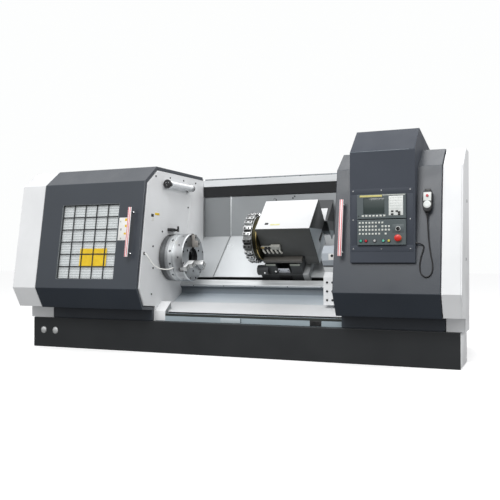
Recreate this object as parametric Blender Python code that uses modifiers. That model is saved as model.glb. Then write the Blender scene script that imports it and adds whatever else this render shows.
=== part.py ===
"""Slant bed CNC lathe with two wrap-round sliding doors, a three-jaw chuck, a twelve-station
turret and telescopic way covers. Metres, +Z up, +X along the spindle. The origin is on the
floor under the middle of the base."""

import math

import bmesh
import bpy
from mathutils import Matrix, Vector

# Clearances
SEAT = 0.0003
SLIDE_GAP = 0.0006
RUNNING_GAP = 0.006

# Length: the base, and how far each end housing reaches in from its outer end
BASE_LENGTH = 4.26
BASE_HEIGHT = 0.30
COVER_OVERHANG = 0.042
LEFT_HOUSING = 1.457
RIGHT_HOUSING = 1.007
LEFT_DOOR_LENGTH = 1.161
RIGHT_DOOR_LENGTH = 0.864
LEFT_DOOR_SETBACK = 0.010
RIGHT_DOOR_LAP = 0.018
END_STEP, END_STEP_BACK = 0.122, 0.300
BASE_STEP, BASE_STEP_BACK = 0.118, 0.480

# Depth: the spindle and the rear wall behind the front of the base, and what lies behind
SPINDLE_BACK = 0.346
WALL_BACK = 1.135
WALL_THICKNESS = 0.012
RAIL_DEPTH = 0.043
CHANNEL_DEPTH = 0.033
PLATE_AIR = 0.017
DOOR_LAP = 0.005
REAR_DUCT = 0.165
BED_INSET = 0.040
CABINET_DEPTH = 0.270
BASE_MARGIN = 0.030

# Door profile, as distance behind the front of the base and height above the base
FOOT_BACK = 0.013
UNDER_HEIGHT = 0.105
NOSE_BACK, NOSE_HEIGHT = -0.167, 0.118
WIDEST_BACK, WIDEST_HEIGHT = -0.277, 0.314
BROW_BACK, BROW_HEIGHT = -0.113, 1.340
ROOF_BACK, ROOF_HEIGHT = 0.102, 1.500
DOOR_THICKNESS = 0.034

# White sheet-metal covers, rail and channel
COVER_THICKNESS = 0.012
PANEL_THICKNESS = 0.020
RAIL_HEIGHT = 0.070
CHANNEL_HEIGHT = 0.110

# Spindle and chuck
SPINDLE_HEIGHT = 0.612
CHUCK_RADIUS = 0.237
CHUCK_LENGTH = 0.195
CHUCK_STAND = 0.065
CHUCK_BORE = 0.062
FLANGE_AIR = 0.0067
SPINDLE_RADIUS = 0.090
SPINDLE_REACH = 0.785
JAW_WIDTH = 0.046
JAW_DEPTH = 0.045
JAW_INNER, JAW_OUTER = 0.100, 0.224
JAW_STEP_RADIUS = 0.165
JAW_STEP_HEIGHT = 0.030
JAW_HEIGHT = 0.065
JAW_CLEARANCE = 0.0005

# Slanted bed, in distances up the slant and out from it, through the spindle axis
SLANT = math.radians(45)
BED_LEVEL = -0.460
BED_TOP_RISE = 0.048
BED_INSIDE_END = 0.172
WAY_WIDTH = 0.074
WAY_LOW = -0.054
WAY_LEVEL = -0.339
WAY_THICKNESS = 0.026
LEDGE_LEVEL = -0.395
GUIDE_WIDTH = 0.050
GUIDE_LOW = 0.115
GUIDE_DROP = 0.072
GUIDE_LEVEL = -0.406

# Chip chute and sill
CHUTE_TOP_DROP = 0.0485
CHUTE_KNEE_BACK, CHUTE_KNEE_SHARE = 0.420, 0.474
CHUTE_LIP_BACK, CHUTE_LIP_HEIGHT = 0.120, 0.092
SHEET = 0.004
SILL_BACK = 0.055
SILL_HEIGHT = 0.072
SILL_DEPTH = 0.085

# Way covers
PLATE_THICKNESS = 0.005
PLATE_PITCH = 0.0055
PLATE_LEVEL = -0.380
PLATE_LOW = 0.093
PLATE_DROP = 0.008
LEFT_FIXED_LENGTH = 0.339
PLATE_LAP = 0.020
RIGHT_PLATE_LENGTH = 0.520
MIDDLE_PLATE_START = 0.340
MIDDLE_PLATE_LENGTH = 0.620
FIXED_PLATE_LAP = 0.180

# Carriage: its place beyond the headstock panel, then sizes from its own left end
CARRIAGE_PLACE = 0.885
SADDLE_LENGTH = 0.490
SADDLE_LOW = 0.060
SADDLE_SETBACK = 0.012
SADDLE_HEEL = 0.045
SADDLE_LEVEL = -0.300
BEAM_WIDTH = 0.106
BEAM_STARTS = (0.076, 0.326)
BEAM_LEVEL = -0.172
BEAM_SETBACK = 0.105
SCREW_CAP_RADIUS = 0.050
SLIDE = (0.088, 0.460)
SLIDE_LOW, SLIDE_HIGH = 0.145, 0.530
SLIDE_LEVEL = -0.121
HOUSING = (0.065, 0.605)
HOUSING_LOW, HOUSING_HIGH = 0.135, 0.545
HOUSING_LEVEL = 0.235
HOUSING_STEP, HOUSING_STEP_LEVEL = 0.280, -0.046
SKIRT_LEVEL = -0.226
SKIRT_HIGH = 0.430
SKIRT_AIR = 0.012
GUARD = (0.072, 0.627)
GUARD_LEVEL = -0.052
GUARD_LOW = 0.556
GUARD_SETBACK = 0.118
GUARD_THICKNESS = 0.008
TURRET_SLANT = 0.266
TURRET_STAND = 0.075
TURRET_THICKNESS = 0.090
TURRET_RADIUS = 0.252
STATIONS = 12
STATION_FLAT = 0.72
STATION_NOTCH = 0.022
RING_THICKNESS = 0.049
RING_RADIUS = 0.215

# Tailstock
TAILSTOCK_PLACE = 0.265
TAILSTOCK_LENGTH = 0.350
TAILSTOCK_HALF = 0.098
TAILSTOCK_CHAMFER = 0.049
FOOT_FRONT, FOOT_REAR = 0.300, 0.400
FOOT_RISE = 0.018
QUILL_RADIUS = 0.055
QUILL_REACH = 0.014
QUILL_CLEARANCE = 0.0004
QUILL_SOCKET = 0.022
SOCKET_DEPTH = 0.090

# Console on the right door, from the door's left edge and from the doors' profile
CONSOLE_PLACE = 0.150
CONSOLE_WIDTH = 0.523
CONSOLE_INSET = 0.012
CONSOLE_RISE = 0.246
CONSOLE_BROW_RISE = 0.120
CONSOLE_TOP_BACK, CONSOLE_TOP_RISE = -0.030, 0.165
CONSOLE_REAR, CONSOLE_REAR_RISE = 0.750, 0.030

GREY_DARK = (0.040, 0.043, 0.050)
WHITE = (0.80, 0.81, 0.82)
STEEL = (0.55, 0.56, 0.57)
BLACK = (0.02, 0.02, 0.02)

for leftover in list(bpy.data.objects):
    bpy.data.objects.remove(leftover, do_unlink=True)
machine = bpy.data.collections.new("slant_bed_lathe")
cutters = bpy.data.collections.new("cutters")
bpy.context.scene.collection.children.link(machine)
bpy.context.scene.collection.children.link(cutters)
cutters.hide_render = True

# Places that follow from the sizes
half = BASE_LENGTH / 2
cover_end = half + COVER_OVERHANG
panel_face = LEFT_HOUSING - cover_end
panel_rear = panel_face - PANEL_THICKNESS
right_cover_start = cover_end - RIGHT_HOUSING
left_door_end = panel_face - LEFT_DOOR_SETBACK
left_door = (left_door_end - LEFT_DOOR_LENGTH, left_door_end)
right_door_start = right_cover_start - RIGHT_DOOR_LAP
right_door = (right_door_start, right_door_start + RIGHT_DOOR_LENGTH)
cover_rear = WALL_BACK + REAR_DUCT
base_depth = cover_rear + CABINET_DEPTH + BASE_MARGIN
rail_back = WALL_BACK - RAIL_DEPTH
door_rear = rail_back + DOOR_LAP
plate_back = WALL_BACK - PLATE_AIR
cover_offset = DOOR_THICKNESS + RUNNING_GAP
cover_roof = ROOF_HEIGHT - cover_offset
rail_bottom = cover_roof - RAIL_HEIGHT
channel_bottom = rail_bottom - CHANNEL_HEIGHT
plate_top = channel_bottom - PLATE_DROP
chuck_rear = panel_face + CHUCK_STAND
chuck_face = chuck_rear + CHUCK_LENGTH
saddle_start = panel_face + CARRIAGE_PLACE
bed_start = panel_face + SEAT
bed_end = cover_end - BED_INSIDE_END
tailstock_start = right_cover_start - TAILSTOCK_PLACE

# Spaces: the house has its zero at the front of the base and on its top, and the slope has
# its X along the spindle axis, its Y up the slant and its Z out of it
front = -base_depth / 2
HOUSE = Matrix.Translation((0.0, front, BASE_HEIGHT))
SPINDLE = HOUSE @ Matrix.Translation((0.0, SPINDLE_BACK, SPINDLE_HEIGHT))
SLOPE = SPINDLE @ Matrix.Rotation(SLANT, 4, "X")
CARRIAGE = SLOPE @ Matrix.Translation((saddle_start, 0.0, 0.0))
ALONG_X = Matrix(((0, 0, 1, 0), (1, 0, 0, 0), (0, 1, 0, 0), (0, 0, 0, 1)))
TURNED_ON_X = Matrix.Rotation(math.radians(90), 4, "Y")
frames = {}


def finish(name, colour, roughness, metallic=0.0):
    material = bpy.data.materials.get(name)
    if material is None:
        material = bpy.data.materials.new(name)
        material.use_nodes = True
        shader = material.node_tree.nodes["Principled BSDF"]
        shader.inputs["Base Color"].default_value = (*colour, 1.0)
        shader.inputs["Roughness"].default_value = roughness
        shader.inputs["Metallic"].default_value = metallic
    return material


def paint(name):
    return finish(name + "_paint", GREY_DARK, 0.45)


def white(name):
    return finish(name + "_white", WHITE, 0.40)


def steel(name):
    return finish(name + "_steel", STEEL, 0.30, 1.0)


def black(name):
    return finish(name + "_black", BLACK, 0.50)


def hang(obj, world, parent=None):
    """Puts the object at a place in the world, carried by a frame if one is named."""
    if parent is None:
        obj.matrix_basis = world
    else:
        obj.parent = bpy.data.objects[parent]
        obj.matrix_basis = frames[parent].inverted() @ world


def frame(name, world, parent=None):
    """An empty on a joint's axis, which carries the pieces that move on that joint."""
    marker = bpy.data.objects.new(name, None)
    machine.objects.link(marker)
    hang(marker, world, parent)
    frames[name] = world


def register(obj, material, world, parent, cutter):
    group = cutters if cutter else machine
    group.objects.link(obj)
    obj.data.materials.clear()
    if cutter:
        obj.hide_render = True
        obj.display_type = "WIRE"
    else:
        obj.data.materials.append(material)
    hang(obj, world, parent)
    return obj


def round_edges(obj, width, segments=2):
    """Rounds the outward corners only, so a piece keeps its gap inside a neighbour's corner."""
    shape = bmesh.new()
    shape.from_mesh(obj.data)
    weight = shape.edges.layers.float.new("bevel_weight_edge")
    for edge in shape.edges:
        if edge.is_convex and edge.calc_face_angle(0.0) > math.radians(20):
            edge[weight] = 1.0
    shape.to_mesh(obj.data)
    shape.free()
    bevel = obj.modifiers.new("rounded_edges", "BEVEL")
    bevel.width = width
    bevel.segments = segments
    bevel.limit_method = "WEIGHT"


def box(name, material, space, x, y, z, parent=None, cutter=False, bevel=0.0):
    """A block between two values on each axis of its space."""
    low = Vector((x[0], y[0], z[0]))
    high = Vector((x[1], y[1], z[1]))
    mesh = bpy.data.meshes.new(name)
    shape = bmesh.new()
    bmesh.ops.create_cube(shape, size=1.0)
    bmesh.ops.scale(shape, vec=high - low, verts=shape.verts)
    shape.to_mesh(mesh)
    shape.free()
    obj = bpy.data.objects.new(name, mesh)
    register(obj, material, space @ Matrix.Translation((low + high) / 2), parent, cutter)
    if bevel:
        round_edges(obj, bevel)
    return obj


def extruded(name, material, outline, thickness, place, parent=None, cutter=False):
    """A flat outline given half its thickness to each side, as a mesh with welded caps."""
    curve = bpy.data.curves.new(name + "_outline", "CURVE")
    curve.dimensions = "2D"
    curve.fill_mode = "BOTH"
    curve.extrude = thickness / 2
    spline = curve.splines.new("POLY")
    spline.points.add(len(outline) - 1)
    for point, (a, b) in zip(spline.points, outline):
        point.co = (a, b, 0.0, 1.0)
    spline.use_cyclic_u = True
    guide = bpy.data.objects.new(name + "_guide", curve)
    machine.objects.link(guide)
    graph = bpy.context.evaluated_depsgraph_get()
    mesh = bpy.data.meshes.new_from_object(guide.evaluated_get(graph))
    mesh.name = name
    bpy.data.objects.remove(guide, do_unlink=True)
    shape = bmesh.new()
    shape.from_mesh(mesh)
    bmesh.ops.remove_doubles(shape, verts=shape.verts, dist=1e-6)
    bmesh.ops.recalc_face_normals(shape, faces=shape.faces)
    shape.to_mesh(mesh)
    shape.free()
    obj = bpy.data.objects.new(name, mesh)
    return register(obj, material, place, parent, cutter)


def prism(name, material, space, outline, x, parent=None, cutter=False, bevel=0.0):
    """An outline in the plane across the length, drawn out between two values of X."""
    place = space @ Matrix.Translation(((x[0] + x[1]) / 2, 0.0, 0.0)) @ ALONG_X
    obj = extruded(name, material, outline, x[1] - x[0], place, parent, cutter)
    if bevel:
        round_edges(obj, bevel)
    return obj


def turned(name, material, profile, place, steps=48, closed=False, parent=None, cutter=False):
    """A profile of (radius, height) run round local Z, from the top down its outer side."""
    mesh = bpy.data.meshes.new(name)
    shape = bmesh.new()
    points = [shape.verts.new((radius, 0.0, height)) for radius, height in profile]
    for a, b in zip(points, points[1:]):
        shape.edges.new((a, b))
    if closed:
        shape.edges.new((points[-1], points[0]))
    shape.to_mesh(mesh)
    shape.free()
    obj = bpy.data.objects.new(name, mesh)
    register(obj, material, place, parent, cutter)
    screw = obj.modifiers.new("turned", "SCREW")
    screw.axis = "Z"
    screw.angle = math.tau
    screw.steps = steps
    screw.render_steps = steps
    screw.use_merge_vertices = True
    screw.merge_threshold = 0.0001
    screw.use_smooth_shade = True
    return obj


def drum(name, radius, x, space, steps=48):
    """A plain cylinder along X for a cut or a join."""
    profile = [(0.0, x[1]), (radius, x[1]), (radius, x[0]), (0.0, x[0])]
    return turned(name, None, profile, space @ TURNED_ON_X, steps=steps, cutter=True)


def combine(obj, operation, tools):
    for tool in tools:
        modifier = obj.modifiers.new(tool.name, "BOOLEAN")
        modifier.operation = operation
        modifier.solver = "EXACT"
        modifier.object = tool


def cut(obj, *tools):
    combine(obj, "DIFFERENCE", tools)


def join(obj, *pieces):
    combine(obj, "UNION", pieces)


def offset_path(path, distance):
    """The open path moved sideways by a distance, to the right of its direction."""
    lines = []
    for (a0, b0), (a1, b1) in zip(path, path[1:]):
        length = math.hypot(a1 - a0, b1 - b0)
        across = ((b1 - b0) / length * distance, -(a1 - a0) / length * distance)
        lines.append(((a0 + across[0], b0 + across[1]), (a1 + across[0], b1 + across[1])))
    moved = [lines[0][0]]
    for (p, q), (r, s) in zip(lines, lines[1:]):
        u = (q[0] - p[0], q[1] - p[1])
        v = (s[0] - r[0], s[1] - r[1])
        turn = u[0] * v[1] - u[1] * v[0]
        share = ((r[0] - p[0]) * v[1] - (r[1] - p[1]) * v[0]) / turn
        moved.append((p[0] + u[0] * share, p[1] + u[1] * share))
    moved.append(lines[-1][1])
    return moved


def band(path, thickness):
    """A closed outline of a folded sheet that lies to the right of the path."""
    return path + offset_path(path, thickness)[::-1]


def from_slope(along, out):
    """A point of the slanted plane as distance behind the base's front and height."""
    back = SPINDLE_BACK + along * math.cos(SLANT) - out * math.sin(SLANT)
    height = SPINDLE_HEIGHT + along * math.sin(SLANT) + out * math.cos(SLANT)
    return back, height


def slope_at_back(back, out):
    """The distance up the slant where a level of the slanted plane meets a vertical plane."""
    return (back - SPINDLE_BACK + out * math.sin(SLANT)) / math.cos(SLANT)


# Frames that carry the moving pieces, each on its joint's axis
frame("spindle_axis", SPINDLE)
frame("left_door_track", HOUSE @ Matrix.Translation((left_door[0], 0.0, 0.0)))
frame("right_door_track", HOUSE @ Matrix.Translation((right_door[0], 0.0, 0.0)))
frame("carriage_line", CARRIAGE @ Matrix.Translation((0.0, 0.0, GUIDE_LEVEL)))
frame("middle_cover_line", CARRIAGE @ Matrix.Translation((SADDLE_LENGTH, 0.0, PLATE_LEVEL)))
frame("cross_line", CARRIAGE @ Matrix.Translation((SLIDE[0], SLIDE_LOW, BEAM_LEVEL)), "carriage_line")
frame("turret_axis", CARRIAGE @ Matrix.Translation((-TURRET_STAND, TURRET_SLANT, 0.0)), "cross_line")
frame("tailstock_line", SLOPE @ Matrix.Translation((tailstock_start, 0.0, WAY_LEVEL)))

# Base: one low frame under the whole machine
BASE_EDGE = 0.006
BEYOND = 0.05
base = box(
    "base_frame",
    paint("base"),
    HOUSE,
    (-half, half),
    (0.0, base_depth),
    (-BASE_HEIGHT, 0.0),
    bevel=BASE_EDGE,
)
base_step_x = (half - BASE_STEP, half + BEYOND)
base_step_y = (BASE_STEP_BACK, base_depth + BEYOND)
base_step_z = (-BASE_HEIGHT - BEYOND, BEYOND)
cut(base, box("base_step", None, HOUSE, base_step_x, base_step_y, base_step_z, cutter=True))

# Profiles shared by doors and covers: the covers follow the doors' inner face
door_path = [
    (FOOT_BACK, RUNNING_GAP),
    (FOOT_BACK, UNDER_HEIGHT),
    (NOSE_BACK, NOSE_HEIGHT),
    (WIDEST_BACK, WIDEST_HEIGHT),
    (BROW_BACK, BROW_HEIGHT),
    (ROOF_BACK, ROOF_HEIGHT),
    (door_rear, ROOF_HEIGHT),
]
cover_front = offset_path(door_path, cover_offset)
cover_front[0] = (cover_front[0][0], SEAT)
cover_path = cover_front[:-1] + [(cover_rear, cover_roof), (cover_rear, SEAT)]
COVER_EDGE = 0.003

# Beyond the doors the covers are fuller, almost as full as the doors themselves
COLLAR_INSET = 0.006
COLLAR_AIR = 0.008
collar_front = offset_path(door_path, COLLAR_INSET)
collar_front[0] = (collar_front[0][0], SEAT)
collar_roof = ROOF_HEIGHT - COLLAR_INSET
collar_path = collar_front[:-1] + [(cover_rear, collar_roof), (cover_rear, SEAT)]
collar_depth = cover_offset - COLLAR_INSET + COVER_THICKNESS / 2


def sheet_cover(side, outer_end, inner_end, door_end, plate_outline):
    """A white cover over one end, and the plate that closes it at its outer end."""
    direction = 1 if inner_end > outer_end else -1
    plate_inner = outer_end + direction * COVER_THICKNESS
    shell_x = sorted((plate_inner + direction * SEAT, inner_end))
    shell_outline = band(cover_path, COVER_THICKNESS)
    shell = prism(side + "_cover", white(side), HOUSE, shell_outline, shell_x, bevel=COVER_EDGE)
    collar_x = sorted((shell_x[0] if direction > 0 else shell_x[1], door_end))
    collar_outline = band(collar_path, collar_depth)
    join(shell, prism(side + "_collar", None, HOUSE, collar_outline, collar_x, cutter=True))
    plate_x = sorted((outer_end, plate_inner))
    plate_name = side + "_end_plate"
    plate = prism(plate_name, white(side), HOUSE, plate_outline, plate_x, bevel=COVER_EDGE)
    return shell, plate


left_collar_end = left_door[0] - COLLAR_AIR
sheet_cover("left", -cover_end, panel_rear - SEAT, left_collar_end, collar_path)

# The right end reaches its full length in front only: behind that the cover steps in, and
# its end plate turns inward and back again
step_x = (cover_end - END_STEP - COVER_THICKNESS, cover_end - END_STEP)
step_y = (END_STEP_BACK - COVER_THICKNESS, END_STEP_BACK)
step_middle = sum(step_y) / 2
front_outline = collar_path[:-2] + [(step_middle, collar_roof), (step_middle, SEAT)]
right_collar_end = right_door[1] + COLLAR_AIR
right_shell, right_plate = sheet_cover(
    "right", cover_end, right_cover_start, right_collar_end, front_outline
)
hollow_x = (step_x[0] - SEAT, cover_end + BEYOND)
hollow_y = (step_y[0] - SEAT, cover_rear + BEYOND)
hollow_z = (-BEYOND, collar_roof + BEYOND)
cut(right_shell, box("cover_step", None, HOUSE, hollow_x, hollow_y, hollow_z, cutter=True))
turned_in = [
    (step_x[0], step_y[0]),
    (cover_end, step_y[0]),
    (cover_end, step_y[1]),
    (step_x[1], step_y[1]),
    (step_x[1], cover_rear),
    (step_x[0], cover_rear),
]
turned_in_height = collar_roof - SEAT
turned_in_place = HOUSE @ Matrix.Translation((0.0, 0.0, SEAT + turned_in_height / 2))
join(
    right_plate,
    extruded("end_step", None, turned_in, turned_in_height, turned_in_place, cutter=True),
)

# White panel beside the chuck, and the headstock casting behind it
PANEL_OPENING = CHUCK_RADIUS - 0.020
panel_outline = cover_path[:-2] + [(rail_back - SEAT, cover_roof), (rail_back - SEAT, SEAT)]
panel = prism("headstock_panel", white("panel"), HOUSE, panel_outline, (panel_rear, panel_face))
cut(panel, drum("panel_opening", PANEL_OPENING, (panel_rear - BEYOND, panel_face + BEYOND), SPINDLE))

HEADSTOCK_REACH = 0.705
HEADSTOCK_AIR = 0.004
HEADSTOCK_FRONT, HEADSTOCK_REAR = 0.226, 0.554
HEADSTOCK_RISE = 0.308
HEADSTOCK_EDGE = 0.020
headstock_x = (panel_face - HEADSTOCK_REACH, panel_rear - HEADSTOCK_AIR)
headstock = box(
    "headstock",
    finish("headstock_casting", (0.35, 0.38, 0.42), 0.6),
    HOUSE,
    headstock_x,
    (SPINDLE_BACK - HEADSTOCK_FRONT, SPINDLE_BACK + HEADSTOCK_REAR),
    (SEAT, SPINDLE_HEIGHT + HEADSTOCK_RISE),
    bevel=HEADSTOCK_EDGE,
)
bore_x = (headstock_x[0] - 0.1, headstock_x[1] + 0.1)
cut(headstock, drum("headstock_bore", SPINDLE_RADIUS + SLIDE_GAP, bore_x, SPINDLE))

# Spindle with its flange and shoulder
FLANGE_EDGE = 0.006
SHOULDER = 0.040
flange_front = chuck_rear - SEAT
flange_rear = panel_face + FLANGE_AIR
shoulder_rear = headstock_x[1] + RUNNING_GAP
spindle_tail = panel_face - SPINDLE_REACH
spindle_profile = [
    (CHUCK_BORE, flange_front),
    (CHUCK_RADIUS - FLANGE_EDGE, flange_front),
    (CHUCK_RADIUS - FLANGE_EDGE, flange_rear),
    (SPINDLE_RADIUS + SHOULDER, flange_rear),
    (SPINDLE_RADIUS + SHOULDER, shoulder_rear),
    (SPINDLE_RADIUS, shoulder_rear),
    (SPINDLE_RADIUS, spindle_tail),
    (CHUCK_BORE, spindle_tail),
]
on_spindle = SPINDLE @ TURNED_ON_X
turned("spindle", steel("spindle"), spindle_profile, on_spindle, closed=True, parent="spindle_axis")

# Chuck body with its groove and three radial slots
GROOVE_PLACE, GROOVE_WIDTH, GROOVE_DEPTH = 0.101, 0.012, 0.006
CHUCK_CHAMFER = 0.006
groove = (chuck_face - GROOVE_PLACE - GROOVE_WIDTH, chuck_face - GROOVE_PLACE)
chuck_profile = [
    (CHUCK_BORE, chuck_face),
    (CHUCK_RADIUS - CHUCK_CHAMFER, chuck_face),
    (CHUCK_RADIUS, chuck_face - CHUCK_CHAMFER),
    (CHUCK_RADIUS, groove[1]),
    (CHUCK_RADIUS - GROOVE_DEPTH, groove[1]),
    (CHUCK_RADIUS - GROOVE_DEPTH, groove[0]),
    (CHUCK_RADIUS, groove[0]),
    (CHUCK_RADIUS, chuck_rear),
    (CHUCK_BORE, chuck_rear),
]
chuck = turned(
    "chuck_body", steel("chuck"), chuck_profile, on_spindle, closed=True, parent="spindle_axis"
)

# Jaws: stepped blocks in the slots, a third of a turn apart
JAWS = 3
JAW_EDGE = 0.002
slot_half = JAW_WIDTH / 2 + JAW_CLEARANCE
slot_floor = chuck_face - JAW_DEPTH - JAW_CLEARANCE
jaw_outline = [
    (chuck_face - JAW_DEPTH, JAW_INNER),
    (chuck_face + JAW_HEIGHT, JAW_INNER),
    (chuck_face + JAW_HEIGHT, JAW_STEP_RADIUS),
    (chuck_face + JAW_STEP_HEIGHT, JAW_STEP_RADIUS),
    (chuck_face + JAW_STEP_HEIGHT, JAW_OUTER),
    (chuck_face - JAW_DEPTH, JAW_OUTER),
]
for number in range(JAWS):
    turn = SPINDLE @ Matrix.Rotation(number * math.tau / JAWS, 4, "X")
    slot = box(
        f"jaw_slot_{number + 1}",
        None,
        turn,
        (slot_floor, chuck_face + 0.02),
        (-slot_half, slot_half),
        (0.0, CHUCK_RADIUS + BEYOND),
        cutter=True,
    )
    cut(chuck, slot)
    jaw_frame = f"jaw_line_{number + 1}"
    frame(jaw_frame, turn @ Matrix.Translation((chuck_face, 0.0, JAW_INNER)), "spindle_axis")
    on_turn = turn @ Matrix.Rotation(math.radians(90), 4, "X")
    jaw_name = f"jaw_{number + 1}"
    jaw = extruded(jaw_name, steel("jaw"), jaw_outline, JAW_WIDTH, on_turn, parent=jaw_frame)
    round_edges(jaw, JAW_EDGE, 1)

# Slanted bed: its corner is where the way covers turn upright
corner = slope_at_back(plate_back, PLATE_LEVEL)
bed_top = corner + BED_TOP_RISE
guide_high = corner - GUIDE_DROP
bed_rear = cover_rear - BED_INSET
way_floor = WAY_LEVEL - WAY_THICKNESS
ledge_back, ledge_height = from_slope(WAY_LOW, LEDGE_LEVEL)
bed_outline = [
    (ledge_back, SEAT),
    (ledge_back, ledge_height),
    from_slope(WAY_LOW, way_floor - SEAT),
    from_slope(WAY_LOW + WAY_WIDTH, way_floor - SEAT),
    from_slope(WAY_LOW + WAY_WIDTH, BED_LEVEL),
    from_slope(bed_top, BED_LEVEL),
    (bed_rear, from_slope(bed_top, BED_LEVEL)[1]),
    (bed_rear, SEAT),
]
casting = finish("bed_paint", (0.30, 0.34, 0.38), 0.5)
prism("slant_bed", casting, HOUSE, bed_outline, (bed_start, bed_end))

# Ground ways: one for the tailstock and two for the carriage
WAY_EDGE = 0.003
WAYS = (
    ("tailstock_way", (WAY_LOW, WAY_LOW + WAY_WIDTH), (way_floor, WAY_LEVEL)),
    ("carriage_way_lower", (GUIDE_LOW, GUIDE_LOW + GUIDE_WIDTH), (BED_LEVEL + SEAT, GUIDE_LEVEL)),
    ("carriage_way_upper", (guide_high, guide_high + GUIDE_WIDTH), (BED_LEVEL + SEAT, GUIDE_LEVEL)),
)
for name, along, out in WAYS:
    box(name, steel("way"), SLOPE, (bed_start, bed_end), along, out, bevel=WAY_EDGE)

# Chip chute, folded from sheet, down to the sill that closes the front
chute_top = ledge_height - CHUTE_TOP_DROP
knee_height = CHUTE_LIP_HEIGHT + CHUTE_KNEE_SHARE * (chute_top - CHUTE_LIP_HEIGHT)
chute_path = [
    (CHUTE_LIP_BACK, SILL_HEIGHT + SEAT),
    (CHUTE_LIP_BACK, CHUTE_LIP_HEIGHT),
    (CHUTE_KNEE_BACK, knee_height),
    (ledge_back - SHEET, chute_top),
]
middle_x = (bed_start, right_cover_start - SEAT)
prism("chip_chute", white("chute"), HOUSE, band(chute_path, SHEET), middle_x)
SILL_EDGE = 0.003
sill_y = (SILL_BACK, SILL_BACK + SILL_DEPTH)
sill_paint = finish("sill_paint", (0.45, 0.56, 0.64), 0.4)
box("front_sill", sill_paint, HOUSE, middle_x, sill_y, (SEAT, SILL_HEIGHT), bevel=SILL_EDGE)

# Rear wall, and the rail and channel that carry the doors' rear edges
wall_bottom = from_slope(bed_top, BED_LEVEL)[1] + SEAT
wall_y = (WALL_BACK, WALL_BACK + WALL_THICKNESS)
box("rear_wall", white("wall"), HOUSE, middle_x, wall_y, (wall_bottom, cover_roof))
rail_y = (rail_back, WALL_BACK - SEAT)
box("top_rail", white("rail"), HOUSE, middle_x, rail_y, (rail_bottom, cover_roof), bevel=COVER_EDGE)
channel_y = (WALL_BACK - CHANNEL_DEPTH, WALL_BACK - SEAT)
channel_z = (channel_bottom, rail_bottom - SEAT)
box("rail_channel", paint("channel"), HOUSE, middle_x, channel_y, channel_z)


def way_cover(name, level, x, parent=None):
    """One stage of the telescopic covers: a sheet folded into a slanted and an upright part.
    Each level lies one pitch outside the one below, so the stages pass over each other."""
    out = PLATE_LEVEL + level * PLATE_PITCH
    back = plate_back - level * PLATE_PITCH
    path = [from_slope(PLATE_LOW, out), from_slope(slope_at_back(back, out), out), (back, plate_top)]
    return prism(name, steel("plate"), HOUSE, band(path, PLATE_THICKNESS), x, parent=parent)


# Telescopic way covers, left and right of the saddle
left_fixed_end = bed_start + LEFT_FIXED_LENGTH
saddle_end = saddle_start + SADDLE_LENGTH
middle_start = saddle_end + MIDDLE_PLATE_START
middle_end = middle_start + MIDDLE_PLATE_LENGTH
way_cover("way_cover_left_fixed", 0, (bed_start, left_fixed_end))
way_cover("way_cover_left", 1, (left_fixed_end - PLATE_LAP, saddle_start - SEAT), "carriage_line")
way_cover("way_cover_right", 2, (saddle_end + SEAT, saddle_end + RIGHT_PLATE_LENGTH), "carriage_line")
way_cover("way_cover_middle", 1, (middle_start, middle_end), "middle_cover_line")
way_cover("way_cover_right_fixed", 0, (middle_end - FIXED_PLATE_LAP, bed_end))

# Saddle on the carriage ways, with two beams for the cross slide and a round screw cap
saddle_high = corner - SADDLE_SETBACK
saddle_foot = GUIDE_LEVEL + SLIDE_GAP
saddle_outline = [
    (SADDLE_LOW, SADDLE_LEVEL),
    (SADDLE_LOW, saddle_foot),
    (saddle_high - SADDLE_HEEL, saddle_foot),
    (saddle_high, saddle_foot + SADDLE_HEEL),
    (saddle_high, SADDLE_LEVEL),
]
saddle_x = (0.0, SADDLE_LENGTH)
saddle = prism("saddle", paint("saddle"), CARRIAGE, saddle_outline, saddle_x, parent="carriage_line")
BEAM_INSET = 0.012
BEAM_ROOT = 0.020
for number, start in enumerate(BEAM_STARTS):
    beam = box(
        f"beam_{number + 1}",
        None,
        CARRIAGE,
        (start, start + BEAM_WIDTH),
        (SADDLE_LOW + BEAM_INSET, saddle_high - BEAM_SETBACK),
        (SADDLE_LEVEL - BEAM_ROOT, BEAM_LEVEL),
        cutter=True,
    )
    join(saddle, beam)
CAP_START = -0.020
CAP_INSET = 0.020
CAP_SINK = 0.008
cap_rise = SADDLE_LEVEL + SCREW_CAP_RADIUS - CAP_SINK
cap_centre = CARRIAGE @ Matrix.Translation((0.0, SADDLE_LOW + CAP_INSET, cap_rise))
cap_x = (CAP_START, BEAM_STARTS[0] + BEAM_ROOT)
join(saddle, drum("screw_cap", SCREW_CAP_RADIUS, cap_x, cap_centre, steps=32))

# Upright plate behind the turret, in line with the moving covers
upright_back = plate_back - PLATE_PITCH
upright_foot = from_slope(saddle_high, SADDLE_LEVEL)[1] + SADDLE_SETBACK
upright_y = (upright_back - PLATE_THICKNESS, upright_back)
upright_x = (saddle_start, saddle_end)
upright_z = (upright_foot, plate_top)
box("saddle_cap", steel("plate"), HOUSE, upright_x, upright_y, upright_z, parent="carriage_line")

# Cross slide on the beams: its upper end is cut upright, so it clears the guard's rear wall
SLIDE_EDGE = 0.004
slide_foot = BEAM_LEVEL + SLIDE_GAP
slide_outline = [
    (SLIDE_LOW, SLIDE_LEVEL),
    (SLIDE_LOW, slide_foot),
    (SLIDE_HIGH - (SLIDE_LEVEL - slide_foot), slide_foot),
    (SLIDE_HIGH, SLIDE_LEVEL),
]
prism(
    "cross_slide", paint("slide"), CARRIAGE, slide_outline, SLIDE, parent="cross_line", bevel=SLIDE_EDGE
)

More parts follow.
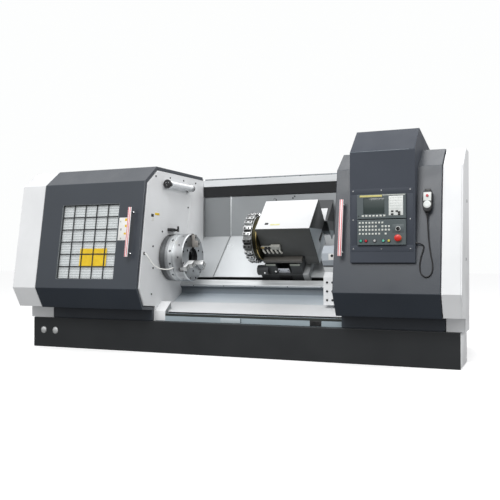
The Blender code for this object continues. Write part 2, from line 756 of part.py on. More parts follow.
# Turret housing: a box cover that passes over the guard, with a skirt down its right side
housing_foot = SLIDE_LEVEL + SEAT
housing_outline = [
    (HOUSING_LOW, housing_foot),
    (HOUSING_STEP, housing_foot),
    (HOUSING_STEP, HOUSING_STEP_LEVEL),
    (HOUSING_HIGH, HOUSING_STEP_LEVEL),
    (HOUSING_HIGH, HOUSING_LEVEL),
    (HOUSING_LOW, HOUSING_LEVEL),
]
housing = prism(
    "turret_cover",
    white("turret"),
    CARRIAGE,
    housing_outline,
    HOUSING,
    parent="cross_line",
    bevel=SLIDE_EDGE,
)
SKIRT_INSET = 0.002
SKIRT_ROOT = 0.010
SKIRT_SHOULDER = 0.030
skirt_outline = [
    (HOUSING_LOW + SKIRT_INSET, SKIRT_LEVEL),
    (SKIRT_HIGH, SKIRT_LEVEL),
    (SKIRT_HIGH, SLIDE_LEVEL + SKIRT_SHOULDER),
    (HOUSING_STEP - SKIRT_ROOT, SLIDE_LEVEL + SKIRT_SHOULDER),
    (HOUSING_STEP - SKIRT_ROOT, 0.0),
    (HOUSING_LOW + SKIRT_INSET, 0.0),
]
skirt_x = (SLIDE[1] + SKIRT_AIR, HOUSING[1] - SKIRT_INSET)
join(housing, prism("cover_skirt", None, CARRIAGE, skirt_outline, skirt_x, cutter=True))

# Guard over the upper end of the cross slide, folded from sheet, with closed sides
guard_rear = plate_back - GUARD_SETBACK
guard_foot = SADDLE_LEVEL + SEAT
guard_top = slope_at_back(guard_rear, GUARD_LEVEL)
guard_path = [
    (GUARD_LOW, GUARD_LEVEL),
    (guard_top, GUARD_LEVEL),
    (slope_at_back(guard_rear, guard_foot), guard_foot),
]
guard = prism(
    "slide_guard",
    paint("guard"),
    CARRIAGE,
    band(guard_path, GUARD_THICKNESS),
    GUARD,
    parent="carriage_line",
)
SIDE_INSET = 0.0005
TOP_INSET = 0.002
REAR_INSET = 0.003


def guard_side(side, foot, x):
    outline = [
        (GUARD_LOW, foot),
        (GUARD_LOW, GUARD_LEVEL - TOP_INSET),
        (guard_top - REAR_INSET, GUARD_LEVEL - TOP_INSET),
        (slope_at_back(guard_rear, foot) - REAR_INSET, foot),
    ]
    join(guard, prism("guard_side_" + side, None, CARRIAGE, outline, x, cutter=True))


guard_side("left", BEAM_LEVEL + RUNNING_GAP, (GUARD[0] + SIDE_INSET, GUARD[0] + GUARD_THICKNESS))
guard_side("right", guard_foot + SIDE_INSET, (GUARD[1] - GUARD_THICKNESS, GUARD[1] - SIDE_INSET))


def station_outline():
    """Twelve flats round the disc, with a notch between each two."""
    points = []
    pitch = math.tau / STATIONS
    flat_radius = TURRET_RADIUS * math.cos(pitch / 2)
    flat_half = TURRET_RADIUS * math.sin(pitch / 2) * STATION_FLAT
    reach = math.hypot(flat_half, flat_radius)
    spread = math.atan2(flat_half, flat_radius)
    floor = flat_radius - STATION_NOTCH
    for station in range(STATIONS):
        middle = station * pitch
        for radius, angle in ((reach, -spread), (reach, spread), (floor, pitch / 2)):
            points.append((radius * math.cos(middle + angle), radius * math.sin(middle + angle)))
    return points


# Turret disc with its stations, and the index ring behind it
turret_centre = CARRIAGE @ Matrix.Translation((-TURRET_STAND, TURRET_SLANT, 0.0))
disc_x = (0.0, TURRET_THICKNESS)
prism("turret_disc", steel("turret"), turret_centre, station_outline(), disc_x, parent="turret_axis")
ring_start = TURRET_THICKNESS + SEAT
ring_end = ring_start + RING_THICKNESS
ring_profile = [(0.0, ring_end), (RING_RADIUS, ring_end), (RING_RADIUS, ring_start), (0.0, ring_start)]
ring_finish = finish("ring_bronze", (0.45, 0.36, 0.20), 0.4, 1.0)
turned("turret_ring", ring_finish, ring_profile, turret_centre @ TURNED_ON_X, parent="turret_axis")

# Tailstock: a base that sits on its way and hangs down in front of it, a body and a quill
TAIL_EDGE = 0.004
tail_x = (tailstock_start, tailstock_start + TAILSTOCK_LENGTH)
tail_foot = WAY_LEVEL + SLIDE_GAP
foot_height = knee_height + FOOT_RISE
tail_base_outline = [
    from_slope(TAILSTOCK_HALF, -TAILSTOCK_HALF - SEAT),
    from_slope(WAY_LOW + WAY_WIDTH + TAILSTOCK_CHAMFER, tail_foot),
    from_slope(WAY_LOW - RUNNING_GAP, tail_foot),
    (FOOT_REAR, from_slope(WAY_LOW, tail_foot)[1] - TAILSTOCK_CHAMFER),
    (FOOT_REAR, foot_height),
    (FOOT_FRONT, foot_height - FOOT_RISE / 2),
    (FOOT_FRONT, from_slope(-TAILSTOCK_HALF, -TAILSTOCK_HALF)[1] - TAILSTOCK_CHAMFER),
    from_slope(-TAILSTOCK_HALF, -TAILSTOCK_HALF - SEAT),
]
prism("tailstock_base", white("tailstock"), HOUSE, tail_base_outline, tail_x, parent="tailstock_line")
body_outline = [
    (-TAILSTOCK_HALF, -TAILSTOCK_HALF),
    (TAILSTOCK_HALF, -TAILSTOCK_HALF),
    (TAILSTOCK_HALF, TAILSTOCK_HALF - TAILSTOCK_CHAMFER),
    (TAILSTOCK_HALF - TAILSTOCK_CHAMFER, TAILSTOCK_HALF),
    (TAILSTOCK_CHAMFER - TAILSTOCK_HALF, TAILSTOCK_HALF),
    (-TAILSTOCK_HALF, TAILSTOCK_HALF - TAILSTOCK_CHAMFER),
]
tail_grey = finish("tailstock_grey", (0.45, 0.48, 0.50), 0.5)
tail = prism(
    "tailstock_body", tail_grey, SLOPE, body_outline, tail_x, parent="tailstock_line", bevel=TAIL_EDGE
)
quill_bore_x = (tail_x[0] - 0.1, tail_x[1] + 0.1)
cut(tail, drum("quill_bore", QUILL_RADIUS + QUILL_CLEARANCE, quill_bore_x, SPINDLE))
QUILL_INSET = 0.010
QUILL_CHAMFER = 0.004
SOCKET_TAPER = 0.8
quill_nose = tail_x[0] - QUILL_REACH
quill_tail = tail_x[1] - QUILL_INSET
quill_profile = [
    (0.0, quill_tail),
    (QUILL_RADIUS, quill_tail),
    (QUILL_RADIUS, quill_nose + QUILL_CHAMFER),
    (QUILL_RADIUS - QUILL_CHAMFER, quill_nose),
    (QUILL_SOCKET, quill_nose),
    (QUILL_SOCKET * SOCKET_TAPER, quill_nose + SOCKET_DEPTH),
    (0.0, quill_nose + SOCKET_DEPTH),
]
turned("tailstock_quill", steel("quill"), quill_profile, on_spindle, steps=32, parent="tailstock_line")

# Doors: thick folded shells that run on a foot on the base and on a runner over the rail
RUNNER_FORWARD, RUNNER_REARWARD = 0.030, 0.028
END_INSET = 0.010
PAD_INSET = 0.006
PAD_HEIGHT = 0.050
DOOR_EDGE = 0.004


def door_shell(name, x, parent):
    outline = band(door_path, DOOR_THICKNESS)
    shell = prism(name, paint("door"), HOUSE, outline, x, parent=parent, bevel=DOOR_EDGE)
    inner_x = (x[0] + END_INSET, x[1] - END_INSET)
    runner_y = (door_rear - RUNNER_FORWARD, door_rear + RUNNER_REARWARD)
    runner_z = (cover_roof + SEAT, ROOF_HEIGHT - DOOR_THICKNESS / 2)
    foot_y = (FOOT_BACK + PAD_INSET, FOOT_BACK + DOOR_THICKNESS - PAD_INSET)
    runner = box(name + "_runner", None, HOUSE, inner_x, runner_y, runner_z, cutter=True)
    foot = box(name + "_foot", None, HOUSE, inner_x, foot_y, (SEAT, PAD_HEIGHT), cutter=True)
    join(shell, runner, foot)
    return shell


left_shell = door_shell("left_door_shell", left_door, "left_door_track")
door_shell("right_door_shell", right_door, "right_door_track")

# A space on the doors' leaning front: X along, Y up the face, Z out of it
lean = math.atan2(BROW_BACK - WIDEST_BACK, BROW_HEIGHT - WIDEST_HEIGHT)
DOOR_FACE = (
    HOUSE
    @ Matrix.Translation((0.0, WIDEST_BACK, WIDEST_HEIGHT))
    @ Matrix.Rotation(math.radians(90) - lean, 4, "X")
)

# Window in the left door: a pane, and a grid of bars in front of it
WINDOW_PLACE, WINDOW_WIDTH = 0.234, 0.665
WINDOW_LOW, WINDOW_HEIGHT = 0.090, 0.738
WINDOW_COLUMNS, WINDOW_ROWS = 5, 6
GRID_BAR = 0.010
GRID_THICKNESS = 0.006
PANE_THICKNESS = 0.006
PANE_INSET = 0.004
window_x = (left_door[0] + WINDOW_PLACE, left_door[0] + WINDOW_PLACE + WINDOW_WIDTH)
window_up = (WINDOW_LOW, WINDOW_LOW + WINDOW_HEIGHT)
through = (-DOOR_THICKNESS - BEYOND, BEYOND)
cut(left_shell, box("window_hole", None, DOOR_FACE, window_x, window_up, through, cutter=True))
pane_x = (window_x[0] + SEAT, window_x[1] - SEAT)
pane_up = (window_up[0] + SEAT, window_up[1] - SEAT)
pane_low = PANE_INSET - DOOR_THICKNESS
pane_z = (pane_low, pane_low + PANE_THICKNESS)
glass = finish("window_glass", (0.75, 0.78, 0.78), 0.1)
box("left_window", glass, DOOR_FACE, pane_x, pane_up, pane_z, parent="left_door_track")
grid_low = pane_z[1] + SEAT
grid_z = (grid_low, grid_low + GRID_THICKNESS)
grid = box("window_grid", paint("grid"), DOOR_FACE, pane_x, pane_up, grid_z, parent="left_door_track")


def grid_holes():
    """One cutter with a block for each opening of the grid."""
    mesh = bpy.data.meshes.new("grid_holes")
    shape = bmesh.new()
    wide = (pane_x[1] - pane_x[0] - GRID_BAR) / WINDOW_COLUMNS
    tall = (pane_up[1] - pane_up[0] - GRID_BAR) / WINDOW_ROWS
    size = Matrix.Diagonal((wide - GRID_BAR, tall - GRID_BAR, 10 * GRID_THICKNESS, 1.0))
    for column in range(WINDOW_COLUMNS):
        for row in range(WINDOW_ROWS):
            x = pane_x[0] + GRID_BAR / 2 + (column + 0.5) * wide
            up = pane_up[0] + GRID_BAR / 2 + (row + 0.5) * tall
            place = Matrix.Translation((x, up, grid_low))
            bmesh.ops.create_cube(shape, size=1.0, matrix=place @ size)
    shape.to_mesh(mesh)
    shape.free()
    obj = bpy.data.objects.new("grid_holes", mesh)
    return register(obj, None, DOOR_FACE, None, True)


cut(grid, grid_holes())

# Handles: a flat bar on two posts, parallel to the leaning face
HANDLE_LOW, HANDLE_LENGTH = 0.295, 0.473
HANDLE_WIDTH, HANDLE_THICKNESS, HANDLE_STAND = 0.024, 0.012, 0.060
POST_WIDTH, POST_INSET = 0.018, 0.030
LEFT_HANDLE_INSET, RIGHT_HANDLE_INSET = 0.100, 0.069
HANDLE_EDGE = 0.003


def handle(name, x, parent):
    low = HANDLE_LOW
    high = HANDLE_LOW + HANDLE_LENGTH
    outer = HANDLE_STAND + HANDLE_THICKNESS
    post_1 = low + POST_INSET
    post_2 = high - POST_INSET
    outline = [
        (low, outer),
        (low, HANDLE_STAND),
        (post_1, HANDLE_STAND),
        (post_1, SEAT),
        (post_1 + POST_WIDTH, SEAT),
        (post_1 + POST_WIDTH, HANDLE_STAND),
        (post_2 - POST_WIDTH, HANDLE_STAND),
        (post_2 - POST_WIDTH, SEAT),
        (post_2, SEAT),
        (post_2, HANDLE_STAND),
        (high, HANDLE_STAND),
        (high, outer),
    ]
    red = finish("handle_red", (0.75, 0.35, 0.35), 0.4)
    across = (x - HANDLE_WIDTH / 2, x + HANDLE_WIDTH / 2)
    prism(name, red, DOOR_FACE, outline, across, parent=parent, bevel=HANDLE_EDGE)


handle("left_handle", left_door[1] - LEFT_HANDLE_INSET, "left_door_track")
handle("right_handle", right_door[0] + RIGHT_HANDLE_INSET, "right_door_track")

# Console box on the right door: it follows the door's face, chamfer and roof
console_x = (right_door[0] + CONSOLE_PLACE, right_door[0] + CONSOLE_PLACE + CONSOLE_WIDTH)
console_front = WIDEST_BACK + CONSOLE_INSET
console_bottom = WIDEST_HEIGHT + CONSOLE_RISE
console_foot_back = WIDEST_BACK + CONSOLE_RISE * math.tan(lean)
CONSOLE_EDGE = 0.006
console_outline = [
    (console_foot_back - SEAT, console_bottom),
    (console_front, console_bottom),
    (console_front, BROW_HEIGHT + CONSOLE_BROW_RISE),
    (CONSOLE_TOP_BACK, ROOF_HEIGHT + CONSOLE_TOP_RISE),
    (CONSOLE_REAR, ROOF_HEIGHT + CONSOLE_REAR_RISE),
    (CONSOLE_REAR, ROOF_HEIGHT + SEAT),
    (ROOF_BACK, ROOF_HEIGHT + SEAT),
    (BROW_BACK - SEAT, BROW_HEIGHT + SEAT),
]
prism(
    "console_box",
    paint("console"),
    HOUSE,
    console_outline,
    console_x,
    parent="right_door_track",
    bevel=CONSOLE_EDGE,
)

# A space on the console's upright front, from its lower left corner: X along, Y up, Z out
CONSOLE_FACE = (
    HOUSE
    @ Matrix.Translation((console_x[0], console_front, console_bottom))
    @ Matrix.Rotation(math.radians(90), 4, "X")
)
DISPLAY_X, DISPLAY_UP = (0.063, 0.455), (0.353, 0.550)
SCREEN_X, SCREEN_UP, SCREEN_DEPTH = (0.115, 0.287), (0.392, 0.520), 0.005
OPERATOR_X, OPERATOR_UP = (0.065, 0.455), (0.143, 0.346)
UNIT_PROUD = 0.020
UNIT_EDGE = 0.003
unit_z = (SEAT, SEAT + UNIT_PROUD)
unit_grey = finish("unit_grey", (0.20, 0.24, 0.24), 0.5)
display = box(
    "display_unit",
    unit_grey,
    CONSOLE_FACE,
    DISPLAY_X,
    DISPLAY_UP,
    unit_z,
    parent="right_door_track",
    bevel=UNIT_EDGE,
)
screen_z = (unit_z[1] - SCREEN_DEPTH, unit_z[1] + 0.02)
cut(display, box("screen_recess", None, CONSOLE_FACE, SCREEN_X, SCREEN_UP, screen_z, cutter=True))
box(
    "operator_unit",
    unit_grey,
    CONSOLE_FACE,
    OPERATOR_X,
    OPERATOR_UP,
    unit_z,
    parent="right_door_track",
    bevel=UNIT_EDGE,
)
KNOB_X, KNOB_UP, KNOB_RADIUS, KNOB_HEIGHT = 0.393, 0.271, 0.020, 0.022
STOP_X, STOP_UP, STOP_RADIUS, STOP_HEIGHT = 0.394, 0.198, 0.027, 0.030
CROWN, RIM, NECK = 0.85, 0.80, 0.45
NECK_SHARE = 0.70


def push(name, material, x, up, radius, height):
    """A mushroom head on a narrower neck."""
    profile = [
        (0.0, height),
        (radius * CROWN, height),
        (radius, height * RIM),
        (radius, height * NECK),
        (radius * NECK_SHARE, height * NECK),
        (radius * NECK_SHARE, 0.0),
        (0.0, 0.0),
    ]
    place = CONSOLE_FACE @ Matrix.Translation((x, up, unit_z[1] + SEAT))
    turned(name, material, profile, place, steps=24, parent="right_door_track")


push("override_knob", black("knob"), KNOB_X, KNOB_UP, KNOB_RADIUS, KNOB_HEIGHT)
stop_red = finish("stop_red", (0.7, 0.05, 0.04), 0.35)
push("emergency_stop", stop_red, STOP_X, STOP_UP, STOP_RADIUS, STOP_HEIGHT)

# Hand pendant on its hook, from the right door's right edge
PENDANT_INSET, PENDANT_WIDTH = 0.067, 0.075
PENDANT_LOW, PENDANT_HEIGHT, PENDANT_DEPTH = 0.648, 0.172, 0.048
PENDANT_STAND = 0.005
PENDANT_EDGE = 0.008
HOOK_WIDTH, HOOK_HEIGHT, HOOK_THICKNESS, HOOK_LAP = 0.024, 0.020, 0.006, 0.050
pendant_right = right_door[1] - PENDANT_INSET
pendant_x = (pendant_right - PENDANT_WIDTH, pendant_right)
pendant_up = (PENDANT_LOW, PENDANT_LOW + PENDANT_HEIGHT)
pendant_z = (PENDANT_STAND, PENDANT_STAND + PENDANT_DEPTH)
pendant = box(
    "pendant",
    black("pendant"),
    DOOR_FACE,
    pendant_x,
    pendant_up,
    pendant_z,
    parent="right_door_track",
    bevel=PENDANT_EDGE,
)
pendant_middle = (pendant_x[0] + pendant_x[1]) / 2
hook_x = (pendant_middle - HOOK_WIDTH / 2, pendant_middle + HOOK_WIDTH / 2)
hook_up = (pendant_up[1] - HOOK_LAP, pendant_up[1] + HOOK_HEIGHT)
hook_z = (SEAT, PENDANT_STAND + HOOK_THICKNESS)
join(pendant, box("hook", None, DOOR_FACE, hook_x, hook_up, hook_z, cutter=True))

# Gland in the console's right side
GLAND_INSET, GLAND_RISE, GLAND_RADIUS, GLAND_REACH = 0.023, 0.155, 0.010, 0.016
GLAND_MOUTH, GLAND_SHOULDER = 0.7, 0.6
gland_root = Vector((console_x[1] + SEAT, console_front + GLAND_INSET, console_bottom + GLAND_RISE))
gland_profile = [
    (0.0, GLAND_REACH),
    (GLAND_RADIUS * GLAND_MOUTH, GLAND_REACH),
    (GLAND_RADIUS, GLAND_REACH * GLAND_SHOULDER),
    (GLAND_RADIUS, 0.0),
    (0.0, 0.0),
]
gland_place = HOUSE @ Matrix.Translation(gland_root) @ TURNED_ON_X
turned("cord_gland", black("gland"), gland_profile, gland_place, steps=16, parent="right_door_track")

# Cord from the pendant down in front of the door and up to the gland, as X and height up the
# leaning face
CORD_RADIUS = 0.005
CORD_AIR = 0.003
CORD_POINTS = 70
CORD_SETTLE = 5
CORD_ROUTE = [
    (1.906, 0.6477),
    (1.906, 0.640),
    (1.906, 0.615),
    (1.909, 0.560),
    (1.914, 0.480),
    (1.922, 0.400),
    (1.936, 0.310),
    (1.950, 0.240),
    (1.948, 0.180),
    (1.925, 0.142),
    (1.892, 0.137),
    (1.862, 0.165),
    (1.852, 0.220),
    (1.860, 0.290),
    (1.876, 0.350),
    (1.878, 0.385),
]
STRAIGHT = 0.008


def smooth_route(route, count):
    """Even points on a smooth curve through the route, whose first and last runs stay straight."""
    fine = []
    steps = 24
    for a, b, c, d in zip(route, route[1:], route[2:], route[3:]):
        for step in range(steps):
            t = step / steps
            bend = (2 * a - 5 * b + 4 * c - d) * t**2 + (3 * b - a - 3 * c + d) * t**3
            fine.append(0.5 * (2 * b + (c - a) * t + bend))
    fine.append(route[-2])
    lengths = [0.0]
    for a, b in zip(fine, fine[1:]):
        lengths.append(lengths[-1] + (b - a).length)
    points = [route[0]]
    index = 0
    for number in range(count):
        target = lengths[-1] * number / (count - 1)
        while index < len(fine) - 2 and lengths[index + 1] < target:
            index += 1
        share = (target - lengths[index]) / (lengths[index + 1] - lengths[index])
        points.append(fine[index].lerp(fine[index + 1], share))
    return points + [route[-1]]


def tube(name, material, points, radius, parent=None):
    curve = bpy.data.curves.new(name, "CURVE")
    curve.dimensions = "3D"
    curve.bevel_depth = radius
    curve.bevel_resolution = 2
    curve.use_fill_caps = True
    spline = curve.splines.new("POLY")
    spline.points.add(len(points) - 1)
    for slot, point in zip(spline.points, points):
        slot.co = (*point, 1.0)
    obj = bpy.data.objects.new(name, curve)
    register(obj, material, Matrix.Identity(4), parent, False)


def cord_route():
    """The cord leaves the pendant's foot and settles on the door before it turns back up."""
    top = PENDANT_STAND + PENDANT_DEPTH / 2
    lying = CORD_RADIUS + CORD_AIR
    route = []
    for number, (x, up) in enumerate(CORD_ROUTE):
        share = min(1.0, max(0, number - 1) / CORD_SETTLE)
        route.append(DOOR_FACE @ Vector((x, up, top + (lying - top) * share)))
    mouth = HOUSE @ (gland_root + Vector((GLAND_REACH + SEAT, 0.0, 0.0)))
    return route + [mouth + Vector((STRAIGHT, 0.0, 0.0)), mouth]


cord_points = smooth_route(cord_route(), CORD_POINTS)
tube("pendant_cord", black("cord"), cord_points, CORD_RADIUS, "right_door_track")

# Work lamp: a tube along the panel in two clamps
LAMP_RADIUS = 0.032
LAMP_DROP = 0.122
LAMP_FRONT, LAMP_REAR = 0.195, 0.745
LAMP_STAND = 0.048
CLAMP_PLACE, CLAMP_WIDTH = 0.038, 0.024
CLAMP_REACH, CLAMP_HALF = 0.010, 0.040
lamp_x = panel_face + LAMP_STAND
lamp_height = cover_roof - LAMP_DROP
lamp_place = HOUSE @ Matrix.Translation((lamp_x, 0.0, lamp_height))
lamp_line = lamp_place @ Matrix.Rotation(math.radians(-90), 4, "X")
lamp_profile = [
    (0.0, LAMP_REAR),
    (LAMP_RADIUS, LAMP_REAR),
    (LAMP_RADIUS, LAMP_FRONT),
    (0.0, LAMP_FRONT),
]
lamp_glass = finish("lamp_glass", (0.85, 0.85, 0.85), 0.2)
lamp = turned("work_lamp", lamp_glass, lamp_profile, lamp_line, steps=32)
clamp_x = (panel_face + SEAT, lamp_x + CLAMP_REACH)
clamp_z = (lamp_height - CLAMP_HALF, lamp_height + CLAMP_HALF)
for side, start in (("front", LAMP_FRONT + CLAMP_PLACE), ("rear", LAMP_REAR - CLAMP_PLACE - CLAMP_WIDTH)):
    clamp_y = (start, start + CLAMP_WIDTH)
    join(lamp, box("lamp_clamp_" + side, None, HOUSE, clamp_x, clamp_y, clamp_z, cutter=True))

# Coolant nozzle above the chuck
NOZZLE_REACH, NOZZLE_HEIGHT = 0.060, 0.033
NOZZLE_FORWARD, NOZZLE_REARWARD = 0.061, 0.074
NOZZLE_AIR = 0.023
NOZZLE_EDGE = 0.004
nozzle_foot = SPINDLE_HEIGHT + CHUCK_RADIUS + NOZZLE_AIR
box(
    "coolant_nozzle",
    black("nozzle"),
    HOUSE,
    (panel_face + SEAT, panel_face + NOZZLE_REACH),
    (SPINDLE_BACK - NOZZLE_FORWARD, SPINDLE_BACK + NOZZLE_REARWARD),
    (nozzle_foot, nozzle_foot + NOZZLE_HEIGHT),
    bevel=NOZZLE_EDGE,
)

# Coolant pipe bent round the front of the chuck: distance from the panel, from the spindle
# axis towards the rear, and above the axis
PIPE_RADIUS = 0.0055
PIPE_POINTS = 24
PIPE_ROUTE = [
    (SEAT, -0.495, 0.036),
    (0.014, -0.495, 0.036),
    (0.031, -0.490, 0.016),
    (0.055, -0.471, -0.032),
    (0.077, -0.446, -0.076),
    (0.113, -0.406, -0.105),
    (0.156, -0.376, -0.115),
    (0.193, -0.346, -0.111),
    (0.220, -0.326, -0.099),
]
pipe_start = SPINDLE @ Matrix.Translation((panel_face, 0.0, 0.0))
pipe_route = [pipe_start @ Vector(point) for point in PIPE_ROUTE]
tube("coolant_pipe", white("pipe"), smooth_route(pipe_route, PIPE_POINTS), PIPE_RADIUS)

# Electrical cabinet behind the left cover, with its door
CABINET_INSET, CABINET_WIDTH = 0.122, 1.200
CABINET_DROP = 0.060
CABINET_FRAME = 0.040
CABINET_DOOR = 0.018
CABINET_EDGE = 0.006
cabinet_x = (CABINET_INSET - cover_end, CABINET_INSET - cover_end + CABINET_WIDTH)
cabinet_y = (cover_rear + SEAT, cover_rear + CABINET_DEPTH)
cabinet_z = (SEAT, cover_roof - CABINET_DROP)
box("electrical_cabinet", white("cabinet"), HOUSE, cabinet_x, cabinet_y, cabinet_z, bevel=CABINET_EDGE)
box(
    "cabinet_door",
    white("cabinet"),
    HOUSE,
    (cabinet_x[0] + CABINET_FRAME, cabinet_x[1] - CABINET_FRAME),
    (cabinet_y[1] + SEAT, cabinet_y[1] + CABINET_DOOR),
    (CABINET_FRAME, cabinet_z[1] - CABINET_FRAME),
    bevel=COVER_EDGE,
)
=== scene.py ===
import math

import bmesh
import bpy
from mathutils import Matrix, Vector


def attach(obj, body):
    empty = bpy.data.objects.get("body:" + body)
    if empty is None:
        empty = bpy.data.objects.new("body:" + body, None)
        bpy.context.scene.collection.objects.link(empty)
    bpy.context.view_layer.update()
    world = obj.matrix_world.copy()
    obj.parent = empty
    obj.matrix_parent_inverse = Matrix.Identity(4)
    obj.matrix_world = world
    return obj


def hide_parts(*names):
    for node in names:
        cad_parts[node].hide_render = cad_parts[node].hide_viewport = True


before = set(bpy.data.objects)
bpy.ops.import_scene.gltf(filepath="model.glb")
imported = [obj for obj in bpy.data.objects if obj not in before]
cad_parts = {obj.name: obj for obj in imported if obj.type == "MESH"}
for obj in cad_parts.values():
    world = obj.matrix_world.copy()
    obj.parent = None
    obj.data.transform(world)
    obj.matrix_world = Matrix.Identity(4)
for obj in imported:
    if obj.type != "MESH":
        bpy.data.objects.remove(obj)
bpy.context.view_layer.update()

# Camera: it stands in front of the machine's right half, at the height of the spindle, and
# looks a little to the left.
CAMERA_PLACE = (2.754, -6.627, 0.886)
CAMERA_TURN, CAMERA_RISE, CAMERA_ROLL = 22.82, 0.81, -0.09


def moved(x, y, z):
    """A shift in metres."""
    return Matrix.Translation((x, y, z))


def rotated(degrees, axis):
    """A turn about one axis."""
    return Matrix.Rotation(math.radians(degrees), 4, axis)


def link(name, data):
    """Puts a new object with this data in the scene."""
    obj = bpy.data.objects.new(name, data)
    bpy.context.scene.collection.objects.link(obj)
    return obj


lens = bpy.data.cameras.new("camera")
lens.lens, lens.sensor_width, lens.sensor_height = 50.36, 36.0, 36.0
lens.clip_end = 60.0
camera = link("camera", lens)
camera.matrix_world = moved(*CAMERA_PLACE) @ rotated(CAMERA_TURN, "Z")
camera.matrix_world @= rotated(90 + CAMERA_RISE, "X") @ rotated(CAMERA_ROLL, "Z")
bpy.context.scene.camera = camera
bpy.context.scene.view_settings.view_transform = "Standard"
bpy.context.scene.view_settings.look = "None"

# Studio: a white surround that is brighter overhead, a large soft light above the front,
# weaker ones overhead, from the right and from behind, and a pale floor.
DIFFUSE_SKY = ((0.0, 0.40), (0.47, 0.42), (0.53, 0.55), (0.78, 0.66), (1.0, 0.78))
REFLECTED_SKY = ((0.0, 0.05), (0.485, 0.07), (0.52, 0.42), (0.64, 0.85), (0.86, 1.15), (1.0, 1.9))
CAMERA_SKY = (0.985, 0.992, 0.99)
LIGHTS = (
    ("key_light", (0.4, -8.2, 7.0), (0.0, -0.2, 0.9), 5.0, 585.0),
    ("top_light", (1.3, 0.95, 5.5), (1.2, 0.0, 0.5), 2.5, 32.0),
    ("end_light", (9.0, -1.0, 5.5), (0.0, -0.3, 1.0), 4.0, 250.0),
    ("rear_light", (-2.0, 6.0, 4.5), (0.0, 0.5, 1.0), 4.0, 150.0),
)
world = bpy.data.worlds.new("surround")
world.use_nodes = True
bpy.context.scene.world = world
world.node_tree.nodes.clear()


def node(owner, kind, inputs=None):
    """A shader node whose inputs are wired to another node's output or set to a value."""
    tree = owner.node_tree
    new = tree.nodes.new("ShaderNode" + kind)
    for name, value in (inputs or {}).items():
        if isinstance(value, bpy.types.NodeSocket):
            tree.links.new(value, new.inputs[name])
        else:
            new.inputs[name].default_value = value
    return new


direction = node(world, "TexCoord").outputs["Generated"]
height = node(world, "SeparateXYZ", {"Vector": direction}).outputs["Z"]
height = node(world, "MapRange", {"Value": height, "From Min": -1.0}).outputs["Result"]


def glow(levels):
    """A grey that changes with the height of the direction it is seen in."""
    ramp = node(world, "ValToRGB", {"Fac": height})
    points = ramp.color_ramp.elements
    for number, (position, level) in enumerate(levels):
        point = points[number] if number < 2 else points.new(position)
        point.position = position
        point.color = (level, level * 1.005, level * 1.01, 1.0)
    return node(world, "Background", {"Color": ramp.outputs["Color"]}).outputs["Background"]


path = node(world, "LightPath").outputs
seen = node(world, "Background", {"Color": (*CAMERA_SKY, 1.0)}).outputs["Background"]
mirrored = {"Fac": path["Is Glossy Ray"], 1: glow(DIFFUSE_SKY), 2: glow(REFLECTED_SKY)}
mirrored = node(world, "MixShader", mirrored).outputs["Shader"]
either = node(world, "MixShader", {"Fac": path["Is Camera Ray"], 1: mirrored, 2: seen})
node(world, "OutputWorld", {"Surface": either.outputs["Shader"]})
for name, stand, aim, size, power in LIGHTS:
    lamp = bpy.data.lights.new(name, "AREA")
    lamp.energy = power
    lamp.size = size
    facing = (Vector(aim) - Vector(stand)).to_track_quat("-Z", "Y").to_matrix().to_4x4()
    link(name, lamp).matrix_world = moved(*stand) @ facing
floor_shape = bmesh.new()
bmesh.ops.create_grid(floor_shape, x_segments=1, y_segments=1, size=40.0)
floor_mesh = bpy.data.meshes.new("floor")
floor_shape.to_mesh(floor_mesh)
floor_shape.free()
floor = link("floor", floor_mesh)
floor.visible_diffuse = floor.visible_glossy = False
floor_paint = bpy.data.materials.new("floor_paint")
floor_paint.use_nodes = True
floor_sockets = {
    "Base Color": (0.80, 0.80, 0.80, 1.0), "Roughness": 0.9, "Specular IOR Level": 0.0,
    "Emission Color": (1.0, 1.0, 1.0, 1.0), "Emission Strength": 0.40,
}
for socket, value in floor_sockets.items():
    floor_paint.node_tree.nodes["Principled BSDF"].inputs[socket].default_value = value
floor_mesh.materials.append(floor_paint)

# Cord of the hand pendant: a black rubber cable that leaves the gland on the console, hangs
# in a loop in front of the right door and goes up into the pendant's foot.
FRONT = -0.80
CORD_RADIUS = 0.005
CORD_AIR = 0.003
CORD_POINTS = 70
CORD_SETTLE = 5
PENDANT_STAND, PENDANT_DEPTH = 0.005, 0.048
GLAND_MOUTH = (1.8366, -0.242, 1.015)
GLAND_STRAIGHT = 0.008
CORD_ROUTE = [
    (1.906, 0.6477), (1.906, 0.640), (1.906, 0.615), (1.909, 0.560), (1.914, 0.480),
    (1.922, 0.400), (1.936, 0.310), (1.950, 0.240), (1.948, 0.180), (1.925, 0.142), (1.892, 0.137),
    (1.862, 0.165), (1.852, 0.220), (1.860, 0.290), (1.876, 0.350), (1.878, 0.385),
]
HOUSE = moved(0.0, FRONT, 0.0)
WIDEST_BACK, WIDEST_HEIGHT, BROW_BACK, BROW_HEIGHT = -0.277, 0.614, -0.113, 1.64
lean = math.atan2(BROW_BACK - WIDEST_BACK, BROW_HEIGHT - WIDEST_HEIGHT)
DOOR_FACE = HOUSE @ moved(0.0, WIDEST_BACK, WIDEST_HEIGHT)
DOOR_FACE = DOOR_FACE @ Matrix.Rotation(math.radians(90) - lean, 4, "X")


